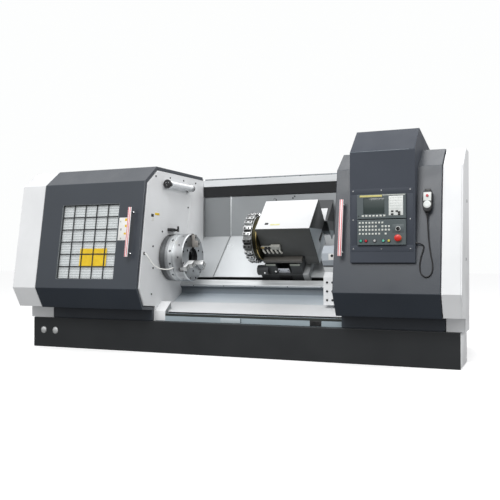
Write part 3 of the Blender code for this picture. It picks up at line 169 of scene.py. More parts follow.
def smooth_route(route, count):
    """Even points on a smooth curve through the route, whose first and last runs stay straight."""
    fine = []
    steps = 24
    for a, b, c, d in zip(route, route[1:], route[2:], route[3:]):
        for step in range(steps):
            t = step / steps
            bend = (2 * a - 5 * b + 4 * c - d) * t**2 + (3 * b - a - 3 * c + d) * t**3
            fine.append(0.5 * (2 * b + (c - a) * t + bend))
    fine.append(route[-2])
    lengths = [0.0]
    for a, b in zip(fine, fine[1:]):
        lengths.append(lengths[-1] + (b - a).length)
    points = [route[0]]
    index = 0
    for number in range(count):
        target = lengths[-1] * number / (count - 1)
        while index < len(fine) - 2 and lengths[index + 1] < target:
            index += 1
        share = (target - lengths[index]) / (lengths[index + 1] - lengths[index])
        points.append(fine[index].lerp(fine[index + 1], share))
    return points + [route[-1]]


def pipe(name, points, radius, material, body, widths=None):
    """A round cable or pipe along a line, with a width for each point where it tapers."""
    curve = bpy.data.curves.new(name, "CURVE")
    curve.dimensions = "3D"
    curve.bevel_depth = radius
    curve.bevel_resolution = 4
    curve.use_fill_caps = True
    spline = curve.splines.new("POLY")
    spline.points.add(len(points) - 1)
    for number, point in enumerate(points):
        spline.points[number].co = (*point, 1.0)
        spline.points[number].radius = widths[number] if widths else 1.0
    spline.use_smooth = True
    curve.materials.append(material)
    obj = link(name, curve)
    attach(obj, body)
    return obj


def finish(name, colour, roughness, metallic=0.0, **sockets):
    """A plain surface, to which grain, tone and relief are added."""
    made = bpy.data.materials.new(name)
    made.use_nodes = True
    shader = made.node_tree.nodes["Principled BSDF"]
    shader.inputs["Base Color"].default_value = (*colour, 1.0)
    shader.inputs["Roughness"].default_value = roughness
    shader.inputs["Metallic"].default_value = metallic
    for socket, value in sockets.items():
        shader.inputs[socket.replace("_", " ")].default_value = value
    return made


def grain(made, scale, detail=3.0, stretch=(1.0, 1.0, 1.0)):
    """Noise on the piece's own coordinates, stretched along the marks of the tool."""
    place = node(made, "TexCoord").outputs["Object"]
    place = node(made, "Mapping", {"Vector": place, "Scale": stretch}).outputs["Vector"]
    noise = {"Vector": place, "Scale": scale, "Detail": detail}
    return node(made, "TexNoise", noise).outputs["Fac"]


def wire(made, output, name):
    """Joins an output to an input of the surface's own shader."""
    made.node_tree.links.new(output, made.node_tree.nodes["Principled BSDF"].inputs[name])


def tone(made, fac, dark, light, low=0.35, high=0.65):
    """Lets a pattern move the colour between a darker and a lighter tone."""
    ramp = node(made, "ValToRGB", {"Fac": fac})
    for point, at, colour in zip(ramp.color_ramp.elements, (low, high), (dark, light)):
        point.position, point.color = at, (*colour, 1.0)
    wire(made, ramp.outputs["Color"], "Base Color")


def relief(made, fac, depth):
    """Lets a pattern raise the surface by a depth in metres."""
    bump = node(made, "Bump", {"Distance": depth, "Height": fac})
    wire(made, bump.outputs["Normal"], "Normal")


def mix(colour, amount):
    """A darker or lighter tone of a colour."""
    return tuple(channel * amount for channel in colour)


RUBBER = (0.012, 0.012, 0.013)
cord_rubber = finish("cord_rubber", RUBBER, 0.55, Specular_IOR_Level=0.35)
relief(cord_rubber, grain(cord_rubber, 700.0), 0.0002)
tone(cord_rubber, grain(cord_rubber, 30.0), mix(RUBBER, 0.8), mix(RUBBER, 1.6))
cord_top = PENDANT_STAND + PENDANT_DEPTH / 2
cord_line = []
for number, (x, up) in enumerate(CORD_ROUTE):
    share = min(1.0, max(0, number - 1) / CORD_SETTLE)
    out = cord_top + (CORD_RADIUS + CORD_AIR - cord_top) * share
    cord_line.append(DOOR_FACE @ Vector((x, up, out)))
mouth = HOUSE @ Vector(GLAND_MOUTH)
cord_line += [mouth + Vector((GLAND_STRAIGHT, 0.0, 0.0)), mouth]
cord_points = smooth_route(cord_line, CORD_POINTS)[::-1]
cord = pipe("pendant_cable", cord_points, CORD_RADIUS, cord_rubber, "right_door")
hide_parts("pendant_cord")
SLEEVE_POINTS = 5
SLEEVE_WIDTHS = [1.9, 1.9, 1.75, 1.55, 1.3]
sleeve = pipe(
    "cable_sleeve", cord_points[::-1][:SLEEVE_POINTS], CORD_RADIUS, cord_rubber, "right_door",
    SLEEVE_WIDTHS,
)

# Base: one low welded frame in charcoal paint under the whole machine, with two levelling
# plugs in its front and a white plate on its right end.
TURNED_ON_X = rotated(90, "Y")
FACING_FRONT = HOUSE @ rotated(90, "X")


def add(shape, part, space, slot=0):
    """Welds a part, turns its faces outward, sets it in its place and adds it to a piece."""
    bmesh.ops.remove_doubles(part, verts=part.verts, dist=1e-6)
    bmesh.ops.recalc_face_normals(part, faces=part.faces)
    bmesh.ops.transform(part, matrix=space, verts=part.verts)
    for face in part.faces:
        face.material_index = slot
    mesh = bpy.data.meshes.new("part")
    part.to_mesh(mesh)
    part.free()
    shape.from_mesh(mesh)
    bpy.data.meshes.remove(mesh)


def round_off(part, lines, edge, segments):
    """Rounds edges by a radius."""
    if edge:
        bmesh.ops.bevel(
            part, geom=lines, offset=edge, segments=segments, profile=0.5, affect="EDGES",
            material=-1,
        )


def block(shape, space, x, y, z, edge=0.0, slot=0, segments=2):
    """A block with rounded edges, between two values on each axis of a space."""
    part = bmesh.new()
    centre = Matrix.Translation([(a + b) / 2 for a, b in (x, y, z)])
    size = Matrix.Diagonal([b - a for a, b in (x, y, z)] + [1.0])
    bmesh.ops.create_cube(part, size=1.0, matrix=centre @ size)
    round_off(part, part.edges[:], edge, segments)
    add(shape, part, space, slot)


def turn(shape, space, profile, steps=32, slot=0):
    """A profile of (radius, height) turned round the Z axis of a space."""
    part = bmesh.new()
    points = [part.verts.new((radius, 0.0, height)) for radius, height in profile]
    lines = [part.edges.new(pair) for pair in zip(points, points[1:])]
    bmesh.ops.spin(
        part, geom=points + lines, cent=(0.0, 0.0, 0.0), axis=(0.0, 0.0, 1.0), angle=math.tau,
        steps=steps, use_merge=True,
    )
    add(shape, part, space, slot)


def bolt(shape, space, place, radius, height, slot=0, socket=0.5):
    """A round screw head with a socket, standing on the XY plane of a space."""
    head = [
        (0.0, height * 0.4), (radius * socket, height * 0.4), (radius * socket, height),
        (radius * 0.85, height), (radius, height * 0.8), (radius, 0.0), (0.0, 0.0),
    ]
    turn(shape, space @ Matrix.Translation(place), head, 14, slot)


def piece(name, shape, materials, body, *nodes, smooth=32.0):
    """Makes the finished object, rounds off its shading, and hangs it on its body."""
    for face in shape.faces:
        face.smooth = True
    for line in shape.edges:
        line.smooth = line.calc_face_angle(0.0) < math.radians(smooth)
    mesh = bpy.data.meshes.new(name)
    shape.to_mesh(mesh)
    shape.free()
    for made in materials:
        mesh.materials.append(made)
    obj = link(name, mesh)
    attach(obj, body)
    if nodes:
        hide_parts(*nodes)
    return obj


def dress(made, *nodes):
    """Gives CAD nodes their finish."""
    for name in nodes:
        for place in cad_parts[name].material_slots:
            place.material = made


def sheen(made, fac, low, high):
    """Lets a pattern move the roughness."""
    span = {"Value": fac, "From Min": 0.3, "From Max": 0.7, "To Min": low, "To Max": high}
    wire(made, node(made, "MapRange", span).outputs["Result"], "Roughness")


def powder_coat(name, colour, roughness, depth=0.00022, gloss=0.5):
    """Baked paint: a fine orange peel, a slow change of tone and hand marks in its gloss."""
    made = finish(name, colour, roughness, Specular_IOR_Level=gloss)
    tone(made, grain(made, 1.3, 4.0), mix(colour, 0.93), mix(colour, 1.07))
    sheen(made, grain(made, 5.0, 5.0), roughness - 0.06, roughness + 0.07)
    relief(made, grain(made, 420.0, 2.0), depth)
    return made


def brushed(name, colour, roughness, stretch, scale=140.0, depth=0.00002, metallic=1.0):
    """Ground or brushed metal, with fine marks along one direction and faint stains."""
    made = finish(name, colour, roughness, metallic)
    marks = grain(made, scale, 4.0, stretch)
    tone(made, marks, mix(colour, 0.86), mix(colour, 1.08))
    sheen(made, grain(made, 4.0, 5.0), roughness - 0.06, roughness + 0.10)
    relief(made, marks, depth)
    return made


CHARCOAL = (0.026, 0.028, 0.030)
WHITE_PAINT = (0.80, 0.81, 0.82)
base_paint = powder_coat("base_paint", CHARCOAL, 0.45, gloss=0.3)
white_paint = powder_coat("white_paint", WHITE_PAINT, 0.38)
chrome = finish("chrome", (0.72, 0.73, 0.74), 0.14, metallic=1.0)
sheen(chrome, grain(chrome, 60.0), 0.10, 0.24)
dress(base_paint, "base_frame")
PLUG_PLACES = (-2.004, -1.858)
PLUG_HEIGHT, PLUG_RADIUS = 0.172, 0.035
shape = bmesh.new()
for x in PLUG_PLACES:
    rim = [
        (0.0, 0.0060), (0.012, 0.0054), (0.022, 0.0038), (0.028, 0.0012), (0.029, -0.0005),
        (0.0335, 0.0005), (PLUG_RADIUS, -0.001), (PLUG_RADIUS, -0.004), (0.0, -0.004),
    ]
    turn(shape, FACING_FRONT @ moved(x, PLUG_HEIGHT, 0.0), rim, 36)
plug_steel = brushed("plug_steel", (0.74, 0.75, 0.75), 0.42, (1.0, 1.0, 1.0), 300.0, 0.00002, 0.6)
piece("levelling_plugs", shape, [plug_steel], "frame")
shape = bmesh.new()
block(shape, HOUSE, (2.1302, 2.1328), (0.006, 0.474), (0.008, 0.292), 0.0008)
for y in (0.05, 0.43):
    for z in (0.04, 0.26):
        bolt(shape, HOUSE @ moved(2.1328, y, z) @ TURNED_ON_X, (0, 0, 0), 0.009, 0.004)
piece("base_end_sheet", shape, [white_paint], "frame")

# End housings: white sheet-metal covers that the doors slide over, each closed by an end
# plate with a service leaf on two quarter-turn latches.
dress(white_paint, "left_cover", "left_end_plate", "right_cover", "right_end_plate")
END_FACE, STEP_FACE = 2.172, 2.050
ALONG_X = Matrix(((0, 0, 1, 0), (1, 0, 0, 0), (0, 1, 0, 0), (0, 0, 0, 1)))
LEAF_PROUD = 0.002


def slab(shape, space, outline, z, edge=0.0, slot=0, segments=2):
    """A flat outline in X and Y of a space, drawn out between two values of Z."""
    part = bmesh.new()
    face = part.faces.new([part.verts.new((a, b, z[0])) for a, b in outline])
    grown = bmesh.ops.extrude_face_region(part, geom=[face])["geom"]
    raised = [item for item in grown if isinstance(item, bmesh.types.BMVert)]
    bmesh.ops.translate(part, vec=(0.0, 0.0, z[1] - z[0]), verts=raised)
    bmesh.ops.recalc_face_normals(part, faces=part.faces)
    sharp = [line for line in part.edges if line.calc_face_angle(0.0) > 0.3]
    round_off(part, sharp, edge, segments)
    add(shape, part, space, slot)


latch_grey = finish("latch_grey", (0.32, 0.33, 0.34), 0.35, metallic=0.8)
sheen(latch_grey, grain(latch_grey, 90.0), 0.28, 0.45)
LATCHES = ((0.136, 1.365), (0.045, 0.890))
right_end = moved(END_FACE, FRONT, 0.0) @ ALONG_X
left_end = moved(-END_FACE, FRONT, 0.0) @ rotated(180, "Z") @ ALONG_X
shape = bmesh.new()
LEAF_OUTLINE = [(0.360, 0.44), (1.240, 0.44), (1.240, 1.66), (0.360, 1.66)]
step_end = moved(STEP_FACE, FRONT, 0.0) @ ALONG_X
slab(shape, step_end, LEAF_OUTLINE, (0.0, LEAF_PROUD), 0.0012)
other_leaf = [(-a, b) for a, b in LEAF_OUTLINE[::-1]]
slab(shape, left_end, other_leaf, (0.0, LEAF_PROUD), 0.0012)
piece("service_leaves", shape, [white_paint], "frame")
shape = bmesh.new()
latch = [(0.0, 0.003), (0.010, 0.003), (0.014, 0.002), (0.015, 0.0), (0.0, 0.0)]
for back, up in LATCHES:
    turn(shape, right_end @ moved(back, up, 0.0), latch, 24)
for back, up in ((1.14, 0.70), (1.14, 1.40)):
    turn(shape, step_end @ moved(back, up, LEAF_PROUD), latch, 24)
    turn(shape, left_end @ moved(-back, up, LEAF_PROUD), latch, 24)
piece("end_latches", shape, [latch_grey], "frame")

# Headstock panel: the white painted sheet beside the chuck, screwed on along its edge, with a
# second sheet at its rear, a bent foot in front, bare labels and the coolant pipe's socket.
PANEL = moved(-0.715, FRONT, 0.0) @ ALONG_X
dress(white_paint, "headstock_panel")
black_steel = finish("black_steel", (0.018, 0.018, 0.019), 0.42, metallic=0.3)
sheen(black_steel, grain(black_steel, 80.0), 0.35, 0.55)
PANEL_SCREWS = (
    (0.066, 1.700), (0.346, 1.712), (0.629, 1.714), (0.903, 1.714), (0.188, 1.167), (0.010, 1.019),
    (0.010, 0.810), (-0.020, 0.560), (0.730, 1.440), (0.730, 0.900),
)
shape = bmesh.new()
for back, up in PANEL_SCREWS:
    bolt(shape, PANEL, (back, up, 0.0), 0.009, 0.005)
socket = [(0.0, 0.004), (0.009, 0.006), (0.013, 0.005), (0.016, 0.0), (0.0, 0.0)]
turn(shape, PANEL @ moved(-0.149, 0.948, 0.0), socket, 24)
piece("panel_screws", shape, [black_steel], "frame")
shape = bmesh.new()
REAR_SHEET = [
    (0.706, 0.315), (1.086, 0.315), (1.086, 1.565), (0.915, 1.694), (0.845, 1.694), (0.812, 1.580),
    (0.695, 1.200), (0.706, 0.620),
]
slab(shape, PANEL, REAR_SHEET, (0.0, 0.0012), 0.0005)
# The rear sheet is a little darker than the white paint: painted shade where the panel bends away.
panel_shaded_sheet = powder_coat("panel_shaded_sheet", mix(WHITE_PAINT, 0.93), 0.38)
piece("panel_rear_sheet", shape, [panel_shaded_sheet], "frame")
FOOT_OUTLINE = [
    (0.0535, 0.304), (0.110, 0.304), (0.118, 0.398), (0.170, 0.424), (0.170, 0.484),
    (0.066, 0.405), (0.0535, 0.396),
]
# The foot's right-hand side takes a grey paint, which is painted shade.
foot_painted_shade = powder_coat("foot_painted_shade", (0.24, 0.255, 0.26), 0.4)
shape = bmesh.new()
slab(shape, PANEL, FOOT_OUTLINE, (0.0002, 0.110), 0.002)
for face in shape.faces:
    face.material_index = 1 if face.normal.x > 0.9 and face.calc_area() > 0.001 else 0
piece("panel_foot", shape, [white_paint, foot_painted_shade], "frame")


def mottled(name, colour, roughness, scale, dark, light, metallic=0.0, **sockets):
    """A moulded, sprayed or printed surface whose tone changes a little."""
    made = finish(name, colour, roughness, metallic, **sockets)
    tone(made, grain(made, scale), dark, light)
    return made


LABEL = (0.0, 0.0012)
label_yellow = mottled(
    "label_yellow", (0.78, 0.52, 0.012), 0.45, 20.0, (0.72, 0.47, 0.010), (0.82, 0.56, 0.016),
)
label_white = mottled(
    "label_white", (0.78, 0.78, 0.76), 0.45, 25.0, (0.74, 0.74, 0.72), (0.80, 0.80, 0.78),
)
shape = bmesh.new()
block(shape, PANEL, (0.050, 0.132), (1.322, 1.344), LABEL, 0.0004, 0)
block(shape, PANEL, (-0.012, 0.030), (1.262, 1.296), LABEL, 0.0004, 1)
block(shape, PANEL, (-0.022, 0.026), (1.302, 1.330), LABEL, 0.0004, 2)
piece("panel_labels", shape, [label_yellow, label_white, black_steel], "frame")

# Coolant nozzle above the chuck, moulded in black, and the white pipe that bends round the
# front of the chuck.
PANEL_FACE = -0.7147
black_plastic = finish("black_plastic", (0.016, 0.016, 0.017), 0.42)
relief(black_plastic, grain(black_plastic, 900.0), 0.00012)
sheen(black_plastic, grain(black_plastic, 30.0), 0.36, 0.5)
shape = bmesh.new()
block(shape, HOUSE, (PANEL_FACE, -0.672), (0.290, 0.385), (1.173, 1.204), 0.005, 0, 3)
block(shape, HOUSE, (PANEL_FACE, -0.656), (0.385, 0.419), (1.176, 1.197), 0.004, 0, 3)
outlet = [(0.0, 0.0), (0.008, 0.0), (0.007, 0.0012), (0.0, 0.0012)]
turn(shape, moved(-0.690, FRONT + 0.300, 1.1735) @ rotated(180, "X"), outlet, 16)
piece("nozzle_block", shape, [black_plastic], "frame", "coolant_nozzle")
shape = bmesh.new()
block(shape, HOUSE, (PANEL_FACE, -0.700), (0.492, 0.508), (1.176, 1.232), 0.003, 0)
piece("nozzle_bracket", shape, [black_steel], "frame")
PIPE_RADIUS = 0.0055
PIPE_ROUTE = [
    (PANEL_FACE, -0.149, 0.948), (-0.701, -0.149, 0.948), (-0.684, -0.144, 0.928),
    (-0.660, -0.125, 0.880), (-0.638, -0.100, 0.836), (-0.602, -0.060, 0.807),
    (-0.559, -0.030, 0.797), (-0.522, 0.000, 0.801), (-0.495, 0.020, 0.813),
]
pipe_white = mottled(
    "pipe_white", (0.74, 0.74, 0.71), 0.3, 40.0, (0.68, 0.68, 0.65), (0.78, 0.78, 0.75),
)
pipe_line = smooth_route([HOUSE @ Vector(point) for point in PIPE_ROUTE], 40)
coolant = pipe("coolant_tube", pipe_line, PIPE_RADIUS, pipe_white, "frame")
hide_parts("coolant_pipe")

# Work lamp: a glass tube with a light bar inside, black end caps and two steel clamps on
# the headstock panel.
LAMP_X, LAMP_UP, LAMP_RADIUS = -0.667, 1.638, 0.032
LAMP_BACK = (0.195, 0.745)
LAMP_LINE = moved(LAMP_X, FRONT, LAMP_UP) @ rotated(-90, "X")


def around(middle, half):
    """The range from half a width below a value to half a width above it."""
    return (middle - half, middle + half)


lamp_glass = finish("lamp_glass", (0.86, 0.88, 0.90), 0.08)
tone(
    lamp_glass, grain(lamp_glass, 2.0, 2.0, (60.0, 0.2, 60.0)), (0.70, 0.73, 0.76),
    (0.92, 0.93, 0.94),
)
shape = bmesh.new()
start, end = LAMP_BACK
glass_profile = [
    (0.0, end - 0.022), (LAMP_RADIUS - 0.002, end - 0.022), (LAMP_RADIUS - 0.002, start + 0.016),
    (0.0, start + 0.016),
]
turn(shape, LAMP_LINE, glass_profile, 48, 0)
front_cap = [
    (0.0, start + 0.004), (0.010, start + 0.004), (0.012, start + 0.001), (0.024, start),
    (0.030, start + 0.002), (LAMP_RADIUS, start + 0.005), (LAMP_RADIUS, start + 0.018),
    (0.0, start + 0.018),
]
rear_cap = [(r, start + end - h) for r, h in front_cap]
turn(shape, LAMP_LINE, front_cap, 40, 1)
shade = [
    (0.026, start + 0.010), (0.028, start + 0.004), (0.040, start + 0.004), (0.043, start + 0.008),
    (0.043, start + 0.022), (0.032, start + 0.028), (0.026, start + 0.028), (0.026, start + 0.010),
]
turn(shape, LAMP_LINE, shade, 40, 1)
turn(shape, LAMP_LINE, rear_cap, 40, 1)
for number in range(3):
    angle = math.radians(90 + 120 * number)
    offset = (0.019 * math.cos(angle), 0.019 * math.sin(angle), start + 0.0015)
    facing = LAMP_LINE @ Matrix.Translation(offset) @ rotated(180, "X")
    bolt(shape, facing, (0, 0, 0), 0.0035, 0.0015, 2)
for back in (0.245, 0.695):
    ring = [
        (LAMP_RADIUS - 0.001, back - 0.011), (LAMP_RADIUS + 0.003, back - 0.010),
        (LAMP_RADIUS + 0.003, back + 0.010), (LAMP_RADIUS - 0.001, back + 0.011),
    ]
    turn(shape, LAMP_LINE, ring + ring[:1], 40, 3)
    block(shape, HOUSE, (PANEL_FACE, -0.705), around(back, 0.011), (1.5985, 1.6775), 0.002, 3)
    for up in (1.604, 1.672):
        bolt(shape, PANEL, (back, up, 0.010), 0.006, 0.005, 1)
brushed_grey = brushed("lamp_clamp_steel", (0.55, 0.56, 0.57), 0.3, (1.0, 0.1, 1.0))
piece("lamp_tube", shape, [lamp_glass, black_plastic, chrome, brushed_grey], "frame", "work_lamp")

# Headstock: the iron casting that carries the spindle. It is painted grey and bolted down
# inside the left housing.
SPINDLE = moved(0.0, -0.454, 0.912)
cast_paint = powder_coat("cast_paint", (0.16, 0.18, 0.20), 0.5, 0.0008)
dress(cast_paint, "headstock")

# Spindle: a ground steel flange that the chuck is bolted to, and the hollow shaft behind it
# in one piece with it.
ON_SPINDLE = SPINDLE @ TURNED_ON_X
FLANGE_FRONT, FLANGE_REAR, FLANGE_RADIUS = -0.6503, -0.7083, 0.231
BORE = 0.062
# The flange's steel is coloured dark grey: painted shade.
flange_steel = brushed("flange_steel", (0.16, 0.165, 0.17), 0.38, (1.0, 0.08, 0.08), 60.0)
shape = bmesh.new()
flange = [
    (BORE, FLANGE_FRONT), (FLANGE_RADIUS - 0.003, FLANGE_FRONT),
    (FLANGE_RADIUS, FLANGE_FRONT - 0.003), (FLANGE_RADIUS, FLANGE_REAR + 0.004),
    (FLANGE_RADIUS - 0.004, FLANGE_REAR), (0.130, FLANGE_REAR), (0.130, -0.733), (0.090, -0.733),
    (0.090, -1.50), (BORE, -1.50), (BORE, FLANGE_FRONT),
]
turn(shape, ON_SPINDLE, flange, 96)
piece("spindle_nose", shape, [flange_steel], "spindle", "spindle")

# Chuck: a turned steel body bolted to the spindle's flange, with grooves round its rim, three
# slots for the jaws, rows of screw holes in its face and rim, and a through bore.
CHUCK_FACE, CHUCK_REAR, CHUCK_RADIUS = -0.455, -0.650, 0.237
SLOT_HALF, SLOT_DEPTH = 0.0235, 0.0455
RECESS_RADIUS, RECESS_DEPTH = 0.094, 0.044


def carve(name, body_shape, cutter_shape):
    """Cuts one shape out of another and returns what is left as a new shape."""
    made = []
    for part_name, part in ((name, body_shape), (name + "_cutter", cutter_shape)):
        mesh = bpy.data.meshes.new(part_name)
        part.to_mesh(mesh)
        part.free()
        made.append(link(part_name, mesh))
    modifier = made[0].modifiers.new("cut", "BOOLEAN")
    modifier.operation, modifier.solver, modifier.object = "DIFFERENCE", "EXACT", made[1]
    bpy.context.view_layer.update()
    graph = bpy.context.evaluated_depsgraph_get()
    cut_mesh = bpy.data.meshes.new_from_object(made[0].evaluated_get(graph))
    left = bmesh.new()
    left.from_mesh(cut_mesh)
    bpy.data.meshes.remove(cut_mesh)
    for obj in made:
        mesh = obj.data
        bpy.data.objects.remove(obj, do_unlink=True)
        bpy.data.meshes.remove(mesh)
    return left


def drilled(radius, depth):
    """The profile that cuts a hole of that depth, and stands out a little above the surface."""
    return [(0.0, 0.004), (radius, 0.004), (radius, -depth), (0.0, -depth)]


def ringed(name, colour, roughness):
    """Turned metal: fine rings round the spindle's axis on each face."""
    made = finish(name, colour, roughness, metallic=1.0)
    place = node(made, "TexCoord").outputs["Object"]
    centre = {"Vector": place, "Location": tuple(-v for v in SPINDLE.translation)}
    place = node(made, "Mapping", centre).outputs["Vector"]
    lines = {"Vector": place, "Scale": 95.0, "Distortion": 1.5, "Detail": 2.0}
    rings = node(made, "TexWave", lines)
    rings.wave_type, rings.rings_direction = "RINGS", "X"
    tone(made, grain(made, 7.0, 5.0), mix(colour, 0.88), mix(colour, 1.06))
    relief(made, rings.outputs["Fac"], 0.00002)
    sheen(made, grain(made, 9.0, 4.0), roughness - 0.05, roughness + 0.08)
    return made


def bands(made, space, axis, low, high, stops):
    """Colours the surface in soft bands between two values on an axis of a space."""
    inward = space.inverted()
    place = node(made, "TexCoord").outputs["Object"]
    turned = {"Vector": place, "Location": inward.translation, "Rotation": inward.to_euler()}
    place = node(made, "Mapping", turned).outputs["Vector"]
    value = node(made, "SeparateXYZ", {"Vector": place}).outputs[axis]
    span = node(made, "MapRange", {"Value": value, "From Min": low, "From Max": high})
    ramp = node(made, "ValToRGB", {"Fac": span.outputs["Result"]})
    points = ramp.color_ramp.elements
    for number, (at, colour) in enumerate(stops):
        position = (at - low) / (high - low)
        point = points[number] if number < 2 else points.new(position)
        point.position, point.color = position, (*colour, 1.0)
    wire(made, ramp.outputs["Color"], "Base Color")


UPSTANDING = Matrix.Identity(4)
chuck_steel = ringed("chuck_steel", (0.80, 0.82, 0.83), 0.33)
# Bands along the axis: darker at the rear and near the face, lighter across the middle, as painted
# shade and painted highlight.
bands(
    chuck_steel, UPSTANDING, "X", CHUCK_REAR, CHUCK_FACE,
    (
        (CHUCK_REAR, (0.30, 0.31, 0.32)), (-0.620, (0.46, 0.47, 0.48)),
        (-0.612, (0.72, 0.74, 0.75)), (-0.545, (0.74, 0.76, 0.77)), (-0.520, (0.56, 0.57, 0.58)),
        (-0.470, (0.46, 0.47, 0.48)), (CHUCK_FACE, (0.62, 0.64, 0.65)),
    ),
)
# Near black: painted shade inside holes and slots. It is also the colour of the black screw heads.
dark_hole = mottled(
    "dark_hole", (0.012, 0.012, 0.013), 0.6, 60.0, (0.008, 0.008, 0.009), (0.02, 0.02, 0.022),
)
body = bmesh.new()
turned_body = [
    (BORE, CHUCK_FACE - RECESS_DEPTH), (RECESS_RADIUS, CHUCK_FACE - RECESS_DEPTH),
    (RECESS_RADIUS, CHUCK_FACE - 0.002), (RECESS_RADIUS + 0.002, CHUCK_FACE),
    (CHUCK_RADIUS - 0.009, CHUCK_FACE), (CHUCK_RADIUS, CHUCK_FACE - 0.009), (CHUCK_RADIUS, -0.556),
    (CHUCK_RADIUS - 0.006, -0.557), (CHUCK_RADIUS - 0.006, -0.567), (CHUCK_RADIUS, -0.568),
    (CHUCK_RADIUS, -0.612), (CHUCK_RADIUS - 0.003, -0.613), (CHUCK_RADIUS - 0.003, -0.617),
    (CHUCK_RADIUS, -0.618), (CHUCK_RADIUS, CHUCK_REAR + 0.004), (CHUCK_RADIUS - 0.004, CHUCK_REAR),
    (BORE, CHUCK_REAR), (BORE, CHUCK_FACE - RECESS_DEPTH),
]
turn(body, ON_SPINDLE, turned_body, 120)
holes = bmesh.new()
for number in range(3):
    jaw_turn = SPINDLE @ rotated(120 * number, "X")
    block(
        holes, jaw_turn, (CHUCK_FACE - SLOT_DEPTH, CHUCK_FACE + 0.02), (-SLOT_HALF, SLOT_HALF),
        (0.0, CHUCK_RADIUS + 0.03),
    )
body = carve("chuck", body, holes)
holes = bmesh.new()
FACE_RING, FACE_HOLE = 0.212, 0.010
for number in range(12):
    spot = SPINDLE @ rotated(30 * number + 15, "X") @ moved(CHUCK_FACE, 0.0, FACE_RING)
    turn(holes, spot @ TURNED_ON_X, drilled(FACE_HOLE, 0.014), 16)
for number in range(3):
    spot = SPINDLE @ rotated(120 * number + 60, "X") @ moved(CHUCK_FACE, 0.0, 0.135)
    turn(holes, spot @ TURNED_ON_X, drilled(0.012, 0.020), 20)
for number in range(12):
    for x, radius, shift in ((-0.500, 0.0085, 0), (-0.590, 0.011, 15)):
        spot = SPINDLE @ rotated(30 * number + shift, "X") @ moved(x, 0.0, CHUCK_RADIUS)
        turn(holes, spot, drilled(radius, 0.016), 14)
body = carve("chuck", body, holes)
# Faces inside the slots, the recess and the holes take the near black, as painted shade.
for face in body.faces:
    middle_point = SPINDLE.inverted() @ face.calc_center_median()
    radial = math.hypot(middle_point.y, middle_point.z)
    inside = radial < CHUCK_RADIUS - 0.008 and middle_point.x < CHUCK_FACE - 0.003
    small = radial > FACE_RING - 0.012 and face.calc_area() < 4e-5
    if (inside and face.normal.x < 0.5) or (small and abs(face.normal.x) < 0.7):
        face.material_index = 1
    elif face.normal.x > 0.9 and middle_point.x > CHUCK_FACE - 0.002:
        face.material_index = 2
chuck_face_steel = ringed("chuck_face_steel", (0.27, 0.28, 0.29), 0.34)
piece("chuck", body, [chuck_steel, dark_hole, chuck_face_steel], "spindle", "chuck_body")

# Jaws: stepped blocks of hardened steel that slide in the chuck's slots, each held by two sunk
# screws. The upper one's sides are painted darker and browner as painted shade.
JAW_HALF = 0.023
JAW_FLOOR = CHUCK_FACE - 0.045
JAW_OUTLINE = [
    (JAW_FLOOR, 0.100), (CHUCK_FACE + 0.065, 0.100), (CHUCK_FACE + 0.065, 0.165),
    (CHUCK_FACE + 0.030, 0.165), (CHUCK_FACE + 0.030, 0.224), (JAW_FLOOR, 0.224),
]
JAW_SCREWS = ((CHUCK_FACE + 0.065, 0.132), (CHUCK_FACE + 0.030, 0.194))
jaw_steel = brushed("jaw_steel", (0.80, 0.81, 0.81), 0.42, (1.0, 1.0, 0.1), 90.0, 0.00001, 0.5)
# The upper jaw's sides: a darker, browner copy of the jaw steel, as painted shade.
shaded_jaw_steel = brushed(
    "shaded_jaw_steel", (0.27, 0.255, 0.235), 0.5, (1.0, 1.0, 0.1), 90.0, 0.00001, 0.4,
)
jaw_top_steel = brushed(
    "jaw_top_steel", (0.34, 0.345, 0.34), 0.4, (1.0, 1.0, 0.1), 90.0, 0.00001, 0.6,
)
for number in range(3):
    jaw_turn = SPINDLE @ rotated(120 * number, "X")
    flat = jaw_turn @ rotated(90, "X")
    jaw = bmesh.new()
    slab(jaw, flat, JAW_OUTLINE, (-JAW_HALF, JAW_HALF), 0.0010)
    sunk = bmesh.new()
    spots = [jaw_turn @ moved(x, 0.0, radius) @ TURNED_ON_X for x, radius in JAW_SCREWS]
    for spot in spots:
        turn(sunk, spot, drilled(0.0115, 0.016), 20)
    jaw = carve("jaw", jaw, sunk)
    jaw.normal_update()
    for face in jaw.faces:
        face.material_index = 2 if abs(face.normal.x) > 0.9 else 0
    for spot in spots:
        bolt(jaw, spot, (0.0, 0.0, -0.0158), 0.0110, 0.010, 1)
    name = f"jaw_{number + 1}"
    side_steel = shaded_jaw_steel if number == 0 else jaw_steel
    piece("chuck_" + name, jaw, [side_steel, dark_hole, jaw_top_steel], name, name)

# Slanted bed: a grey-blue casting with ground ways let into it, and below it the folded white
# chute that leads the chips to the sill, with a dark strip of painted shadow along its lip.
SLOPE = SPINDLE @ rotated(45, "X")


def spread(start, pitch, count):
    """Values at an even pitch."""
    return [start + number * pitch for number in range(count)]


BED_FRONT = (0.23, 0.27, 0.305)
BED_SHADE = (0.014, 0.015, 0.016)
WAY_EDGE_ALONG = 0.021
bed_paint = powder_coat("bed_paint", BED_FRONT, 0.5, 0.0008)
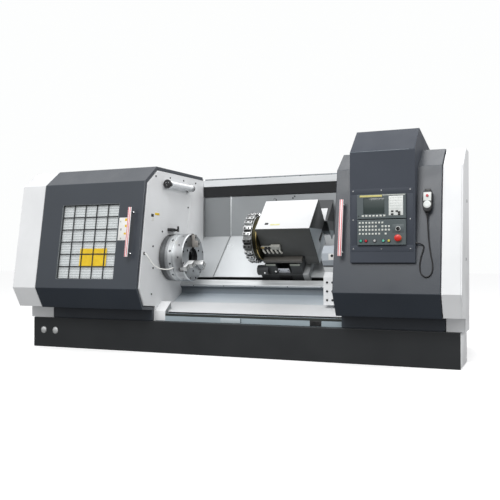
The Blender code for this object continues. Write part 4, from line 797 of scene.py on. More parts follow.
# Bands across the slope: lighter low down, darker towards the way, near black between the way and
# the covers, as painted shade.
bands(
    bed_paint, SLOPE, "Y", -0.9, 1.1,
    (
        (-0.9, mix(BED_FRONT, 1.1)), (-0.10, mix(BED_FRONT, 0.95)), (-0.056, mix(BED_FRONT, 0.46)),
        (WAY_EDGE_ALONG - 0.004, mix(BED_FRONT, 0.46)), (WAY_EDGE_ALONG, BED_SHADE),
        (0.110, BED_SHADE), (0.118, BED_FRONT),
    ),
)
dress(bed_paint, "slant_bed")
WAY_GREY = (0.66, 0.68, 0.69)
way_steel = brushed("way_steel", WAY_GREY, 0.36, (0.03, 1.0, 1.0), 120.0, 0.00001, 0.45)
dress(way_steel, "tailstock_way", "carriage_way_upper")
WAY_FACE_ALONG = 0.1155
way_edge = brushed("way_edge", WAY_GREY, 0.4, (0.03, 1.0, 1.0), 120.0, 0.00001, 0.45)
# The lower way's front face is near black, as painted shade under the covers' edge.
bands(
    way_edge, SLOPE, "Y", 0.0, 0.4,
    ((0.0, BED_SHADE), (WAY_FACE_ALONG, BED_SHADE), (WAY_FACE_ALONG + 0.001, WAY_GREY)),
)
dress(way_edge, "carriage_way_lower")
OPENING_X = (-0.604, 1.160)
CHUTE_WHITE = (0.84, 0.85, 0.86)
chute_paint = powder_coat("chute_paint", CHUTE_WHITE, 0.35)
# Greyer and bluer above the knee, as painted shade.
bands(
    chute_paint, UPSTANDING, "Z", 0.36, 0.56,
    (
        (0.36, CHUTE_WHITE), (0.462, mix(CHUTE_WHITE, 0.94)), (0.468, (0.50, 0.54, 0.575)),
        (0.50, (0.43, 0.48, 0.52)), (0.546, (0.32, 0.365, 0.405)),
    ),
)
dress(chute_paint, "chip_chute")
# Dark strip along the chute's lip: painted shadow.
shape = bmesh.new()
block(shape, HOUSE, OPENING_X, (0.1160, 0.1196), (0.3724, 0.3850), 0.0008)
piece("chute_shadow_strip", shape, [cord_rubber], "frame")
shape = bmesh.new()
for x in spread(-0.56, 0.34, 8):
    bolt(shape, SLOPE @ rotated(90, "X"), (x, -0.352, 0.054), 0.0055, 0.002)
piece("way_screws", shape, [dark_hole], "frame")

# Front sill: a light blue lip folded from sheet on the base, with a dark strip of painted
# shadow along its top edge, a drawer front and a dark moulded socket.
SILL_FACE, LIP_HEIGHT = 0.0547, 0.304
SILL_BLUE = (0.33, 0.395, 0.43)
sill_paint = powder_coat("sill_paint", SILL_BLUE, 0.4)
dress(sill_paint, "front_sill")
shape = bmesh.new()
block(shape, HOUSE, (-0.020, 0.180), (0.0521, SILL_FACE), (LIP_HEIGHT, 0.3480), 0.0010)
block(shape, HOUSE, (0.184, 0.190), (0.0525, SILL_FACE), (LIP_HEIGHT, 0.348), 0.0008, 1)
# Dark strip over the sill's top edge: painted shadow.
block(shape, HOUSE, OPENING_X, (0.0520, 0.0560), (0.3520, 0.3735), 0.0010, 2)
sill_shadow_strip = finish("sill_shadow_strip", (0.030, 0.034, 0.030), 0.6)
relief(sill_shadow_strip, grain(sill_shadow_strip, 500.0), 0.0002)
drawer_paint = powder_coat("drawer_paint", (0.47, 0.53, 0.56), 0.4)
piece("sill_drawer", shape, [drawer_paint, black_steel, sill_shadow_strip], "frame")
shape = bmesh.new()
block(shape, HOUSE, (0.848, 0.955), (0.0533, SILL_FACE), (LIP_HEIGHT, 0.352), 0.0006)
block(shape, HOUSE, (0.870, 0.905), (0.0521, 0.0533), (0.330, 0.350), 0.0005)
socket = [(0.0, 0.0004), (0.010, 0.0004), (0.010, 0.0012), (0.015, 0.0012), (0.016, 0.0)]
turn(shape, FACING_FRONT @ moved(0.925, 0.328, -0.0533), socket + [(0.0, 0.0)], 24)
piece("sill_socket", shape, [black_plastic], "frame")

# Rear wall with the rail that carries the doors' rear edges: grey painted sheet, a white rail
# with a dark channel under it, and a steel angle strip held by a row of screws.
wall_paint = powder_coat("wall_paint", (0.50, 0.53, 0.55), 0.45)
dress(wall_paint, "rear_wall")
rail_paint = powder_coat("rail_paint", (0.74, 0.76, 0.77), 0.4)
dress(rail_paint, "top_rail")
channel_paint = powder_coat("channel_paint", (0.016, 0.017, 0.018), 0.5, gloss=0.25)
dress(channel_paint, "rail_channel")
angle_steel = brushed(
    "angle_steel", (0.20, 0.22, 0.235), 0.45, (0.05, 1.0, 1.0), 80.0, 0.00002, 0.3,
)
shape = bmesh.new()
block(shape, HOUSE, (-0.712, 1.160), (1.1308, 1.1345), (1.7590, 1.7790), 0.0006)
for x in spread(-0.62, 0.17, 11):
    bolt(shape, FACING_FRONT, (x, 1.7685, -1.1308), 0.006, 0.0008, 1)
piece("rail_angle", shape, [angle_steel, black_steel], "frame")

# Telescopic way covers: brushed stainless sheets folded into a slanted and an upright part,
# that slide over one another. A bright seam strip and three screws move with the carriage.
PLATE_GREY = (0.50, 0.525, 0.54)
plate_steel = brushed("plate_steel", PLATE_GREY, 0.33, (0.02, 1.0, 1.0), 260.0, 0.00001, 0.5)
SLANT_GREY = (0.66, 0.685, 0.70)
FOLD_HEIGHT = 1.141
# Lighter on the slant and darker above the fold, as painted light and painted shade.
bands(
    plate_steel, UPSTANDING, "Z", 0.6, 1.7,
    (
        (0.6, mix(SLANT_GREY, 1.06)), (FOLD_HEIGHT - 0.002, mix(SLANT_GREY, 0.88)),
        (FOLD_HEIGHT + 0.002, mix(PLATE_GREY, 0.70)),
    ),
)
# The fixed left cover takes a darker copy of the plate steel, as painted shade.
shaded_plate_steel = brushed(
    "shaded_plate_steel", mix(PLATE_GREY, 0.8), 0.36, (0.02, 1.0, 1.0), 260.0, 0.00001, 0.5,
)
bands(
    shaded_plate_steel, UPSTANDING, "Z", 0.6, 1.7,
    (
        (0.6, mix(SLANT_GREY, 0.80)), (FOLD_HEIGHT - 0.002, mix(SLANT_GREY, 0.80)),
        (FOLD_HEIGHT + 0.002, mix(PLATE_GREY, 0.54)),
    ),
)
dress(shaded_plate_steel, "way_cover_left_fixed")
dress(
    plate_steel, "way_cover_left", "way_cover_right", "way_cover_middle", "way_cover_right_fixed",
    "saddle_cap",
)
SEAM_X = (-0.3955, -0.3835)
shape = bmesh.new()
block(shape, HOUSE, SEAM_X, (1.1112, 1.1124), (1.145, 1.640), 0.0004)
block(shape, SLOPE, (SEAM_X[0], SEAM_X[0] + 0.007), (0.090, 0.702), (-0.3688, -0.3676), 0.0004, 1)
seam_steel = brushed("seam_steel", (0.72, 0.74, 0.75), 0.3, (1.0, 1.0, 0.1), 200.0, 0.00001, 0.6)
seam_shadow = brushed(
    "seam_shadow", (0.16, 0.17, 0.175), 0.4, (1.0, 1.0, 0.1), 200.0, 0.00001, 0.3,
)
piece("cover_seam", shape, [seam_steel, seam_shadow], "carriage")
shape = bmesh.new()
for x, back, up in ((0.1376, 1.1125, 1.5208), (0.3457, 1.1075, 1.5520), (0.3268, 1.1075, 1.5350)):
    bolt(shape, FACING_FRONT, (x, up, -back), 0.008, 0.004)
piece("cover_screws", shape, [black_steel], "carriage")

# Saddle: the carriage casting on its ways, painted black, with ground steel plates and strips
# screwed on it and two domed steel oilers.
CARRIAGE = SLOPE @ moved(0.17, 0.0, 0.0)
SADDLE_BLACK = (0.045, 0.048, 0.050)
saddle_paint = powder_coat("saddle_paint", SADDLE_BLACK, 0.45, gloss=0.35)
# The saddle's right end is painted light grey, as painted light.
bands(
    saddle_paint, UPSTANDING, "X", 0.1, 0.7,
    ((0.1, SADDLE_BLACK), (0.6025, SADDLE_BLACK), (0.6035, (0.36, 0.375, 0.38))),
)
dress(saddle_paint, "saddle")
ground_steel = brushed(
    "ground_steel", (0.62, 0.64, 0.68), 0.3, (1.0, 0.1, 0.1), 100.0, 0.00002, 0.4,
)
shape = bmesh.new()
block(shape, CARRIAGE, (0.184, 0.318), (0.0562, 0.0597), (-0.394, -0.306), 0.0015, 0)
for x in (0.194, 0.308):
    for out in (-0.384, -0.316):
        bolt(shape, CARRIAGE @ moved(x, 0.0562, out) @ rotated(90, "X"), (0, 0, 0), 0.005, 0.003)
for start in (0.076, 0.326):
    strip = (start + 0.002, start + 0.104)
    block(shape, CARRIAGE, strip, (0.0690, 0.0717), (-0.191, -0.167), 0.0008, 2)
block(shape, CARRIAGE, (0.1845, 0.300), (0.0800, 0.0850), (-0.2997, -0.238), 0.002, 1)
for x in (0.196, 0.288):
    spot = CARRIAGE @ moved(x, 0.0800, -0.262) @ rotated(90, "X")
    bolt(shape, spot, (0, 0, 0), 0.006, 0.004)
OILERS = (
    ((0.2318, -0.2550, 0.7564), (0.0, -0.77, -0.63), 0.011),
    ((0.3303, -0.2111, 0.7709), (0.0, -0.71, -0.71), 0.012),
)
for spot, outward, radius in OILERS:
    facing = Vector(outward).to_track_quat("Z", "X").to_matrix().to_4x4()
    dome = [(0.0, radius * 0.8), (radius * 0.6, radius * 0.6), (radius, 0.0), (0.0, 0.0)]
    turn(shape, Matrix.Translation(spot) @ facing, dome, 20, 3)
beam_steel = brushed("beam_steel", (0.30, 0.32, 0.28), 0.4, (1.0, 0.1, 0.1), 100.0, 0.00002, 0.4)
piece("saddle_fittings", shape, [black_steel, ground_steel, beam_steel, plug_steel], "carriage")

# Cross slide: a black painted casting with a machined block on its lower end. The guard over
# its upper end is folded from sheet, and a thin white plate lies against it.
slide_paint = powder_coat("slide_paint", (0.050, 0.052, 0.053), 0.4, gloss=0.4)
dress(slide_paint, "cross_slide")
shape = bmesh.new()
block(shape, CARRIAGE, (0.062, 0.458), (0.0765, 0.1345), (-0.1560, -0.1215), 0.003)
slide_cast = powder_coat("slide_cast", (0.080, 0.076, 0.068), 0.36, 0.0006, 0.6)
piece("slide_end", shape, [slide_cast], "cross_slide")
GUARD_BLACK, GUARD_GREY = (0.050, 0.053, 0.056), (0.17, 0.18, 0.185)
guard_paint = powder_coat("guard_paint", GUARD_BLACK, 0.42, gloss=0.35)
SIDE_LIGHT, SIDE_FOLD = (0.40, 0.45, 0.48), 1.180
bands(
    guard_paint, UPSTANDING, "Z", 0.6, 1.5,
    (
        (0.6, SIDE_LIGHT), (SIDE_FOLD - 0.002, SIDE_LIGHT), (SIDE_FOLD + 0.002, GUARD_GREY),
        (1.27, GUARD_GREY), (1.275, GUARD_BLACK),
    ),
)
dress(guard_paint, "slide_guard")
shape = bmesh.new()
LINER = [(0.6789, 0.7382), (0.7745, 0.5510), (0.7652, 0.7434)]
slab(shape, SLOPE, LINER, (-0.0519, -0.0505), 0.0)
piece("guard_liner", shape, [white_paint], "carriage")

# Turret housing: a sheet-metal box screwed on the cross slide, with a white top, dark sides,
# a skirt down its right side, and two bare labels on its top.
housing_dark = powder_coat("housing_dark", (0.075, 0.078, 0.076), 0.42, gloss=0.35)
HOUSING_X = (0.065, 0.605)
HOUSING_OUTLINE = [
    (0.135, -0.1207), (0.280, -0.1207), (0.280, -0.046), (0.545, -0.046), (0.545, 0.235),
    (0.135, 0.235),
]
SKIRT_OUTLINE = [
    (0.137, -0.226), (0.430, -0.226), (0.430, -0.091), (0.270, -0.091), (0.270, -0.110),
    (0.137, -0.110),
]
CARRIAGE_ALONG = CARRIAGE @ ALONG_X
shape = bmesh.new()
slab(shape, CARRIAGE_ALONG, HOUSING_OUTLINE, HOUSING_X, 0.004)
slab(shape, CARRIAGE_ALONG, SKIRT_OUTLINE, (0.472, 0.603), 0.002)
out_of_slope = CARRIAGE.to_3x3() @ Vector((0.0, 0.0, 1.0))
for face in shape.faces:
    top = face.normal.dot(out_of_slope) > 0.9 and face.calc_area() > 0.05
    side = face.normal.x > 0.9 and face.calc_area() > 0.01
    face.material_index = 2 if side else 0 if top else 1
housing_side = powder_coat("housing_side", SIDE_LIGHT, 0.35)
bands(
    housing_side, UPSTANDING, "Z", 0.6, 1.5,
    (
        (0.6, SIDE_LIGHT), (SIDE_FOLD - 0.002, SIDE_LIGHT),
        (SIDE_FOLD + 0.002, (0.060, 0.063, 0.062)),
    ),
)
piece(
    "turret_housing", shape, [white_paint, housing_dark, housing_side], "cross_slide",
    "turret_cover",
)
TOP_FACE = SLOPE @ moved(0.0, 0.0, 0.2350)
label_pale = mottled(
    "label_pale", (0.72, 0.70, 0.36), 0.4, 30.0, (0.68, 0.66, 0.32), (0.76, 0.74, 0.42),
)
shape = bmesh.new()
block(shape, TOP_FACE, (0.375, 0.470), (0.186, 0.206), LABEL, 0.0004, 0)
block(shape, TOP_FACE, (0.318, 0.352), (0.196, 0.222), (0.0, 0.0015), 0.0005, 1)
piece("housing_labels", shape, [label_pale, black_steel], "cross_slide")

# Coolant manifold on the lower face of the turret housing: a brass fitting, two black valve
# knobs, a grey block and five light pipes.
brass = brushed("brass", (0.62, 0.47, 0.20), 0.3, (1.0, 0.2, 0.2))
fitting_grey = mottled(
    "fitting_grey", (0.42, 0.42, 0.38), 0.5, 30.0, (0.36, 0.36, 0.33), (0.48, 0.48, 0.44),
    metallic=0.2,
)
pipe_light = mottled(
    "pipe_light", (0.70, 0.69, 0.62), 0.35, 30.0, (0.62, 0.61, 0.55), (0.78, 0.77, 0.70),
)
MANIFOLD = CARRIAGE @ moved(-0.17, 0.1350, 0.0) @ rotated(90, "X")
shape = bmesh.new()
block(shape, MANIFOLD, (0.345, 0.440), (-0.006, 0.040), (0.0, 0.030), 0.003, 2)
block(shape, MANIFOLD, (0.236, 0.345), (-0.012, 0.020), (0.0, 0.012), 0.002, 2)
valve = [(0.0, 0.020), (0.012, 0.020), (0.014, 0.017), (0.014, 0.003), (0.010, 0.0), (0.0, 0.0)]
union = [
    (0.0, 0.034), (0.006, 0.034), (0.006, 0.022), (0.010, 0.022), (0.010, 0.010), (0.007, 0.010),
    (0.007, 0.0), (0.0, 0.0),
]
for x in (0.290, 0.322):
    turn(shape, MANIFOLD @ moved(x, 0.006, 0.012), valve, 24, 1)
turn(shape, MANIFOLD @ moved(0.274, 0.010, 0.020) @ rotated(-90, "Y"), union, 20, 0)
piece("coolant_manifold", shape, [brass, black_plastic, fitting_grey], "cross_slide")
PIPE_STARTS = (0.256, 0.298, 0.340, 0.382, 0.424)
PIPE_BEND = (
    (-0.002, -0.008, 0.016), (0.0, -0.014, 0.020), (0.002, -0.030, 0.022), (0.006, -0.052, 0.018),
    (0.009, -0.066, 0.014),
)
for number, start in enumerate(PIPE_STARTS):
    line = [MANIFOLD @ Vector((start + x, y, z)) for x, y, z in PIPE_BEND]
    pipe(f"manifold_pipe_{number + 1}", smooth_route(line, 16), 0.0085, pipe_light, "cross_slide")

# Turret: the tool disc with twelve stations, each with two clamping blocks, a slot between
# them and screws, and the bronzed ring behind it.
TURRET = CARRIAGE @ moved(-0.075, 0.266, 0.0)
TURRET_ALONG = TURRET @ TURNED_ON_X
turret_steel = brushed("turret_steel", (0.56, 0.57, 0.57), 0.3, (0.2, 1.0, 1.0), 80.0)
STATIONS = 12
CORE_RADIUS = 0.219
shape = bmesh.new()
core = [
    (0.0, 0.004), (0.060, 0.004), (0.064, 0.0), (CORE_RADIUS - 0.003, 0.0), (CORE_RADIUS, 0.003),
    (CORE_RADIUS, 0.087), (CORE_RADIUS - 0.003, 0.090), (0.0, 0.090),
]
turn(shape, TURRET_ALONG, core, 96, 0)
stud = [(0.0, 0.0005), (0.016, 0.0005), (0.018, 0.0), (0.0, -0.001)]
# The screw heads on the blocks and the slot's floor are near black, as painted shade of their
# holes and of the slot.
for station in range(STATIONS):
    spot = TURRET @ rotated(360 * station / STATIONS, "X")
    for low, high in ((-0.045, -0.012), (0.012, 0.045)):
        block(shape, spot, (0.004, 0.086), (low, high), (0.205, 0.2430), 0.003, 0)
        middle_y = (low + high) / 2
        for x in (0.024, 0.066):
            bolt(shape, spot, (x, middle_y, 0.2430), 0.0095, 0.0015, 1, 0.7)
    block(shape, spot, (0.010, 0.080), (-0.011, 0.011), (0.212, 0.2260), 0.002, 1)
    turn(shape, spot @ moved(0.0, 0.0, 0.165) @ rotated(-90, "Y"), stud, 24, 1)
piece("tool_disc", shape, [turret_steel, dark_hole], "turret", "turret_disc")
ring_bronze = brushed("ring_bronze", (0.050, 0.046, 0.026), 0.45, (1.0, 0.1, 0.1), 60.0)
shape = bmesh.new()
RING_RADIUS = 0.215
ring_line = [
    (0.0, 0.1393), (RING_RADIUS - 0.004, 0.1393), (RING_RADIUS, 0.1363), (RING_RADIUS, 0.128),
    (RING_RADIUS - 0.006, 0.126), (RING_RADIUS - 0.006, 0.0945), (RING_RADIUS - 0.012, 0.0903),
    (0.0, 0.0903),
]
turn(shape, TURRET_ALONG, ring_line, 96)
gold_line = [(RING_RADIUS - 0.001, 0.129), (RING_RADIUS + 0.001, 0.129)]
gold_line += [(RING_RADIUS + 0.001, 0.135), (RING_RADIUS - 0.001, 0.135), gold_line[0]]
turn(shape, TURRET_ALONG, gold_line, 96, 1)
piece("index_ring", shape, [ring_bronze, brass], "turret", "turret_ring")

# Tailstock: a grey painted casting on a white base that is clamped to its way, with a ground
# steel quill, a plate with a plug on its nose, and screws along its foot.
TAIL_GREY, TAIL_SHADE = (0.42, 0.46, 0.50), (0.06, 0.065, 0.07)
tail_paint = powder_coat("tail_paint", TAIL_GREY, 0.42)
bands(
    tail_paint, SLOPE, "Z", -0.5, 0.2,
    (
        (-0.5, WHITE_PAINT), (-0.034, WHITE_PAINT), (-0.031, TAIL_SHADE), (-0.012, TAIL_SHADE),
        (-0.008, TAIL_GREY),
    ),
)
dress(tail_paint, "tailstock_body")
dress(white_paint, "tailstock_base")
quill_steel = brushed("quill_steel", (0.68, 0.69, 0.70), 0.2, (1.0, 0.1, 0.1), 90.0)
shape = bmesh.new()
QUILL_RADIUS, QUILL_NOSE, QUILL_TAIL = 0.055, 0.886, 1.240
quill = [
    (0.0, QUILL_TAIL), (QUILL_RADIUS, QUILL_TAIL), (QUILL_RADIUS, QUILL_NOSE + 0.004),
    (QUILL_RADIUS - 0.004, QUILL_NOSE), (0.022, QUILL_NOSE), (0.0176, QUILL_NOSE + 0.09),
    (0.0, QUILL_NOSE + 0.09),
]
turn(shape, ON_SPINDLE, quill, 64)
piece("quill", shape, [quill_steel], "tailstock", "tailstock_quill")
shape = bmesh.new()
NOSE_FACE = moved(0.0, -0.5579, 0.0) @ rotated(90, "X")
block(shape, NOSE_FACE, (0.966, 1.030), (0.884, 0.941), (0.0, 0.004), 0.001, 1)
plug = [(0.0, 0.001), (0.008, 0.001), (0.009, 0.003), (0.012, 0.003), (0.013, 0.0), (0.0, 0.0)]
turn(shape, NOSE_FACE @ moved(0.998, 0.922, 0.004), plug, 28)
FOOT_FACE = HOUSE @ moved(0.0, 0.300, 0.0) @ rotated(90, "X")
for x in (0.935, 0.985, 1.165, 1.215):
    for up in (0.520, 0.600, 0.680):
        bolt(shape, FOOT_FACE, (x, up, 0.0), 0.010, 0.007)
piece("tailstock_screws", shape, [black_steel, label_white], "tailstock")

# Left door: a folded shell in dark grey-blue paint that runs on the base and the rail, with
# a sealed window behind a grid and bare label plates. What shows through the window is a
# louvred sheet that is fixed on the left cover.
DOOR_BLUE = (0.034, 0.042, 0.054)
door_paint = powder_coat("door_paint", DOOR_BLUE, 0.34, gloss=0.62)
dress(door_paint, "left_door_shell", "right_door_shell")
window_glass = finish("window_glass", (0.80, 0.84, 0.84), 0.05, Alpha=0.22)
sheen(window_glass, grain(window_glass, 6.0, 5.0), 0.03, 0.10)
dress(window_glass, "left_window")
grid_paint = powder_coat("grid_paint", (0.028, 0.030, 0.032), 0.45, gloss=0.3)
dress(grid_paint, "window_grid")
WINDOW_X, WINDOW_UP = (-1.652, -0.987), (0.090, 0.828)
shape = bmesh.new()
SEAL_WIDTH, SEAL_DEPTH = 0.004, (-0.0215, -0.0010)
for x in (WINDOW_X[0], WINDOW_X[1] - SEAL_WIDTH):
    block(shape, DOOR_FACE, (x, x + SEAL_WIDTH), WINDOW_UP, SEAL_DEPTH, 0.001)
for up in (WINDOW_UP[0], WINDOW_UP[1] - SEAL_WIDTH):
    block(shape, DOOR_FACE, WINDOW_X, (up, up + SEAL_WIDTH), SEAL_DEPTH, 0.001)
seal_grey = mottled(
    "seal_grey", (0.16, 0.175, 0.185), 0.5, 60.0, (0.13, 0.145, 0.155), (0.20, 0.215, 0.225),
)
piece("window_seal", shape, [seal_grey], "left_door")
blind_white = powder_coat("blind_white", (0.80, 0.83, 0.84), 0.4)
blind_shade = powder_coat("blind_shade", (0.42, 0.44, 0.45), 0.4)
shape = bmesh.new()
SHEET_X, SHEET_BACK, SHEET_FRONT = (-1.66, -0.98), -0.0398, -0.0392
LOUVRE_WIDTH, LOUVRE_FRONT = 0.0075, -0.0384
block(shape, DOOR_FACE, SHEET_X, (0.082, 0.836), (SHEET_BACK, SHEET_FRONT), 0.0, 0)
for up in spread(0.088, 0.0248, 30):
    block(shape, DOOR_FACE, SHEET_X, (up, up + LOUVRE_WIDTH), (SHEET_FRONT, LOUVRE_FRONT), 0.0, 1)
piece("blind_behind_window", shape, [blind_white, blind_shade], "frame")
shape = bmesh.new()
block(shape, DOOR_FACE, (-1.408, -1.100), (0.222, 0.393), (-0.02395, -0.02372), 0.0, 0)
block(shape, DOOR_FACE, (-0.975, -0.868), (0.465, 0.684), LABEL, 0.0004, 1)
PATCHES = (
    ((-0.910, -0.876), (0.650, 0.676), 0), ((-0.906, -0.882), (0.592, 0.614), 0),
    ((-0.912, -0.884), (0.520, 0.538), 0), ((-0.958, -0.938), (0.560, 0.580), 2),
    ((-0.950, -0.936), (0.474, 0.490), 2), ((-0.964, -0.952), (0.640, 0.654), 2),
)
for x, up, finish_number in PATCHES:
    block(shape, DOOR_FACE, x, up, (0.0012, 0.0018), 0.0, finish_number)
piece("door_labels", shape, [label_yellow, label_white, fitting_grey], "left_door")

# Handles: on each door a flat steel bar, enamelled white with two red stripes, on two turned
# chrome posts.
HANDLE_UP, POST_INSET = (0.295, 0.768), 0.039
HANDLE_HALF, HANDLE_STAND, HANDLE_THICKNESS = 0.0165, 0.060, 0.012
STRIPES = (-0.0125, -0.0055, 0.0045, 0.0115)


def striped(name, x):
    """White enamel with two red stripes along the bar, about a line at that X."""
    made = finish(name, (0.85, 0.83, 0.83), 0.3)
    place = node(made, "TexCoord").outputs["Object"]
    along = node(made, "SeparateXYZ", {"Vector": place}).outputs["X"]
    limits = {"Value": along, "From Min": x - HANDLE_HALF, "From Max": x + HANDLE_HALF}
    ramp = node(made, "ValToRGB", {"Fac": node(made, "MapRange", limits).outputs["Result"]})
    ramp.color_ramp.interpolation = "CONSTANT"
    white, red = (0.86, 0.84, 0.84, 1.0), (0.62, 0.030, 0.055, 1.0)
    points = ramp.color_ramp.elements
    points[0].color = white
    points[1].position, points[1].color = 0.5 + STRIPES[0] / (2 * HANDLE_HALF), red
    for edge, colour in zip(STRIPES[1:], (white, red, white)):
        points.new(0.5 + edge / (2 * HANDLE_HALF)).color = colour
    wire(made, ramp.outputs["Color"], "Base Color")
    sheen(made, grain(made, 30.0), 0.24, 0.4)
    return made


POST = [
    (0.0, HANDLE_STAND + 0.002), (0.008, HANDLE_STAND + 0.002), (0.008, 0.008), (0.0115, 0.006),
    (0.0125, 0.0003), (0.0, 0.0003),
]
for side, x in (("left", -0.825), ("right", 1.216)):
    shape = bmesh.new()
    outer = HANDLE_STAND + HANDLE_THICKNESS
    block(shape, DOOR_FACE, around(x, HANDLE_HALF), HANDLE_UP, (HANDLE_STAND, outer), 0.003, 0, 3)
    for up in (HANDLE_UP[0] + POST_INSET, HANDLE_UP[1] - POST_INSET):
        turn(shape, DOOR_FACE @ moved(x, up, 0.0), POST, 28, 1)
    enamel = striped(side + "_handle_enamel", x)
    piece(side + "_door_handle", shape, [enamel, chrome], side + "_door", side + "_handle")

# Console on the right door: a deep box of painted sheet, with a panel plate screwed on its
# front and a glossy light strip along the crease at its top, which is a painted highlight.
CONSOLE_FACE = HOUSE @ moved(0.0, -0.265, 0.0) @ rotated(90, "X")
console_paint = powder_coat("console_paint", (0.060, 0.068, 0.084), 0.5, gloss=0.12)
dress(console_paint, "console_box")
shape = bmesh.new()
PLATE_X, PLATE_UP = (1.308, 1.806), (0.952, 1.458)
PLATE_PROUD = 0.002
UNITS_X, UNITS_UP = (1.3595, 1.7527), (1.002, 1.4115)
for x, up in (
    (PLATE_X, (PLATE_UP[0], UNITS_UP[0])), (PLATE_X, (UNITS_UP[1], PLATE_UP[1])),
    ((PLATE_X[0], UNITS_X[0]), UNITS_UP), ((UNITS_X[1], PLATE_X[1]), UNITS_UP),
):
    block(shape, CONSOLE_FACE, x, up, (0.0, PLATE_PROUD), 0.0006)
block(shape, CONSOLE_FACE, UNITS_X, (1.2062, 1.2128), (0.0, PLATE_PROUD), 0.0004)
PLATE_MIDDLE = (1.555, 1.206)
for x in (1.325, PLATE_MIDDLE[0], 1.784):
    for up in (1.440, PLATE_MIDDLE[1], 0.972):
        if (x, up) != PLATE_MIDDLE:
            bolt(shape, CONSOLE_FACE, (x, up, PLATE_PROUD), 0.006, 0.003, 1)
piece("panel_plate", shape, [console_paint, chrome], "right_door")
shape = bmesh.new()
# A glossy light strip along the crease: painted highlight.
crease_highlight_paint = powder_coat("crease_highlight_paint", (0.13, 0.16, 0.19), 0.3, gloss=0.7)
CREASE_BACK, CREASE_UP = -0.2658, 1.7565
crease = (CREASE_UP, CREASE_UP + 0.005)
block(shape, HOUSE, (1.300, 1.775), (CREASE_BACK, CREASE_BACK + 0.006), crease, 0.001)
piece("console_crease_highlight", shape, [crease_highlight_paint], "right_door")

# Display unit: a moulded housing with a screen, a row of soft keys, a light keypad and a
# bare yellow strip above the screen.
unit_grey = mottled(
    "unit_grey", (0.085, 0.105, 0.110), 0.45, 3.0, (0.078, 0.098, 0.103), (0.092, 0.112, 0.117),
)
relief(unit_grey, grain(unit_grey, 800.0), 0.00012)
dress(unit_grey, "display_unit", "operator_unit")
UNIT_TOP = 0.0203


def key(shape, x, up, low, high, edge, slot):
    """A key, screen or strip that stands between two heights on the front of a unit."""
    block(shape, CONSOLE_FACE, x, up, (UNIT_TOP + low, UNIT_TOP + high), edge, slot)


screen_glass = finish("screen_glass", (0.045, 0.060, 0.058), 0.12)
tone(screen_glass, grain(screen_glass, 2.0, 2.0), (0.040, 0.054, 0.052), (0.055, 0.070, 0.068))
key_light = mottled(
    "key_light", (0.62, 0.64, 0.60), 0.4, 40.0, (0.56, 0.58, 0.54), (0.66, 0.68, 0.64),
)
key_white = mottled(
    "key_white", (0.74, 0.77, 0.75), 0.4, 40.0, (0.70, 0.73, 0.71), (0.78, 0.80, 0.78),
)
strip_yellow = mottled(
    "strip_yellow", (0.62, 0.56, 0.20), 0.4, 20.0, (0.58, 0.52, 0.17), (0.66, 0.60, 0.24),
)
shape = bmesh.new()
key(shape, (1.4125, 1.5835), (1.2525, 1.3795), -0.005, -0.0035, 0.0005, 0)
for x in spread(1.409, 0.0289, 7):
    key(shape, around(x, 0.009), (1.230, 1.244), 0.0, 0.0025, 0.001, 1)
key(shape, (1.618, 1.731), (1.238, 1.392), 0.0, 0.0015, 0.0006, 2)
for up in spread(1.380, -0.0205, 5):
    for x in spread(1.632, 0.0212, 5):
        key(shape, around(x, 0.008), around(up, 0.0075), 0.0015, 0.003, 0.0007, 2)
for x, up in ((1.646, 1.270), (1.682, 1.270), (1.700, 1.262), (1.646, 1.247), (1.700, 1.246)):
    key(shape, around(x, 0.010), around(up, 0.007), 0.0015, 0.004, 0.001, 3)
key(shape, (1.384, 1.564), (1.388, 1.403), 0.0, 0.0015, 0.0005, 4)
key(shape, (1.568, 1.748), (1.3985, 1.4035), 0.0, 0.0012, 0.0004, 1)
stem = [(0.0, 0.003), (0.004, 0.003), (0.005, 0.0), (0.0, 0.0)]
turn(shape, CONSOLE_FACE @ moved(1.374, 1.237, UNIT_TOP), stem, 16, 3)
piece(
    "display_keys", shape, [screen_glass, key_light, key_white, black_plastic, strip_yellow],
    "right_door",
)

# Operator unit: rows of light keys, five push buttons in black rings, the override knob on a
# white disc, and the red mushroom button on an orange one.
shape = bmesh.new()
KEY_HALF = 0.0075
ROWS = ((1.182, 8), (1.1515, 6), (1.124, 10), (1.093, 7))
for up, count in ROWS:
    for x in spread(1.3835, 0.0262, count):
        key(shape, around(x, KEY_HALF), around(up, KEY_HALF), 0.0, 0.003, 0.0012, 0)
for x, up in ((1.567, 1.1515), (1.593, 1.1515), (1.619, 1.1515), (1.593, 1.093)):
    key(shape, around(x, KEY_HALF), around(up, KEY_HALF), 0.0, 0.003, 0.0012, 0)
key(shape, (1.645, 1.737), (1.100, 1.166), 0.0, 0.0008, 0.0003, 1)
piece("operator_keys", shape, [key_light, unit_grey], "right_door")


def coloured(name, colour):
    """A moulded button cap."""
    return mottled(name, colour, 0.3, 60.0, mix(colour, 0.88), mix(colour, 1.1))


BUTTONS = (
    (1.392, coloured("button_green", (0.05, 0.42, 0.28))),
    (1.434, coloured("button_red", (0.48, 0.02, 0.03))),
    (1.504, coloured("button_grey", (0.45, 0.45, 0.45))),
    (1.574, coloured("button_green_light", (0.12, 0.50, 0.38))),
    (1.618, coloured("button_yellow", (0.66, 0.58, 0.12))),
)
button_ring = [(0.0105, 0.001), (0.0105, 0.006), (0.014, 0.005), (0.015, 0.0), (0.0, 0.0)]
button_cap = [(0.0, 0.008), (0.008, 0.0075), (0.010, 0.006), (0.010, 0.0005), (0.0, 0.0005)]
for number, (x, colour) in enumerate(BUTTONS):
    shape = bmesh.new()
    spot = CONSOLE_FACE @ moved(x, 1.037, UNIT_TOP)
    turn(shape, spot, button_ring, 28, 1)
    turn(shape, spot, button_cap, 24, 0)
    piece(f"push_button_{number + 1}", shape, [colour, black_plastic], "right_door")
shape = bmesh.new()
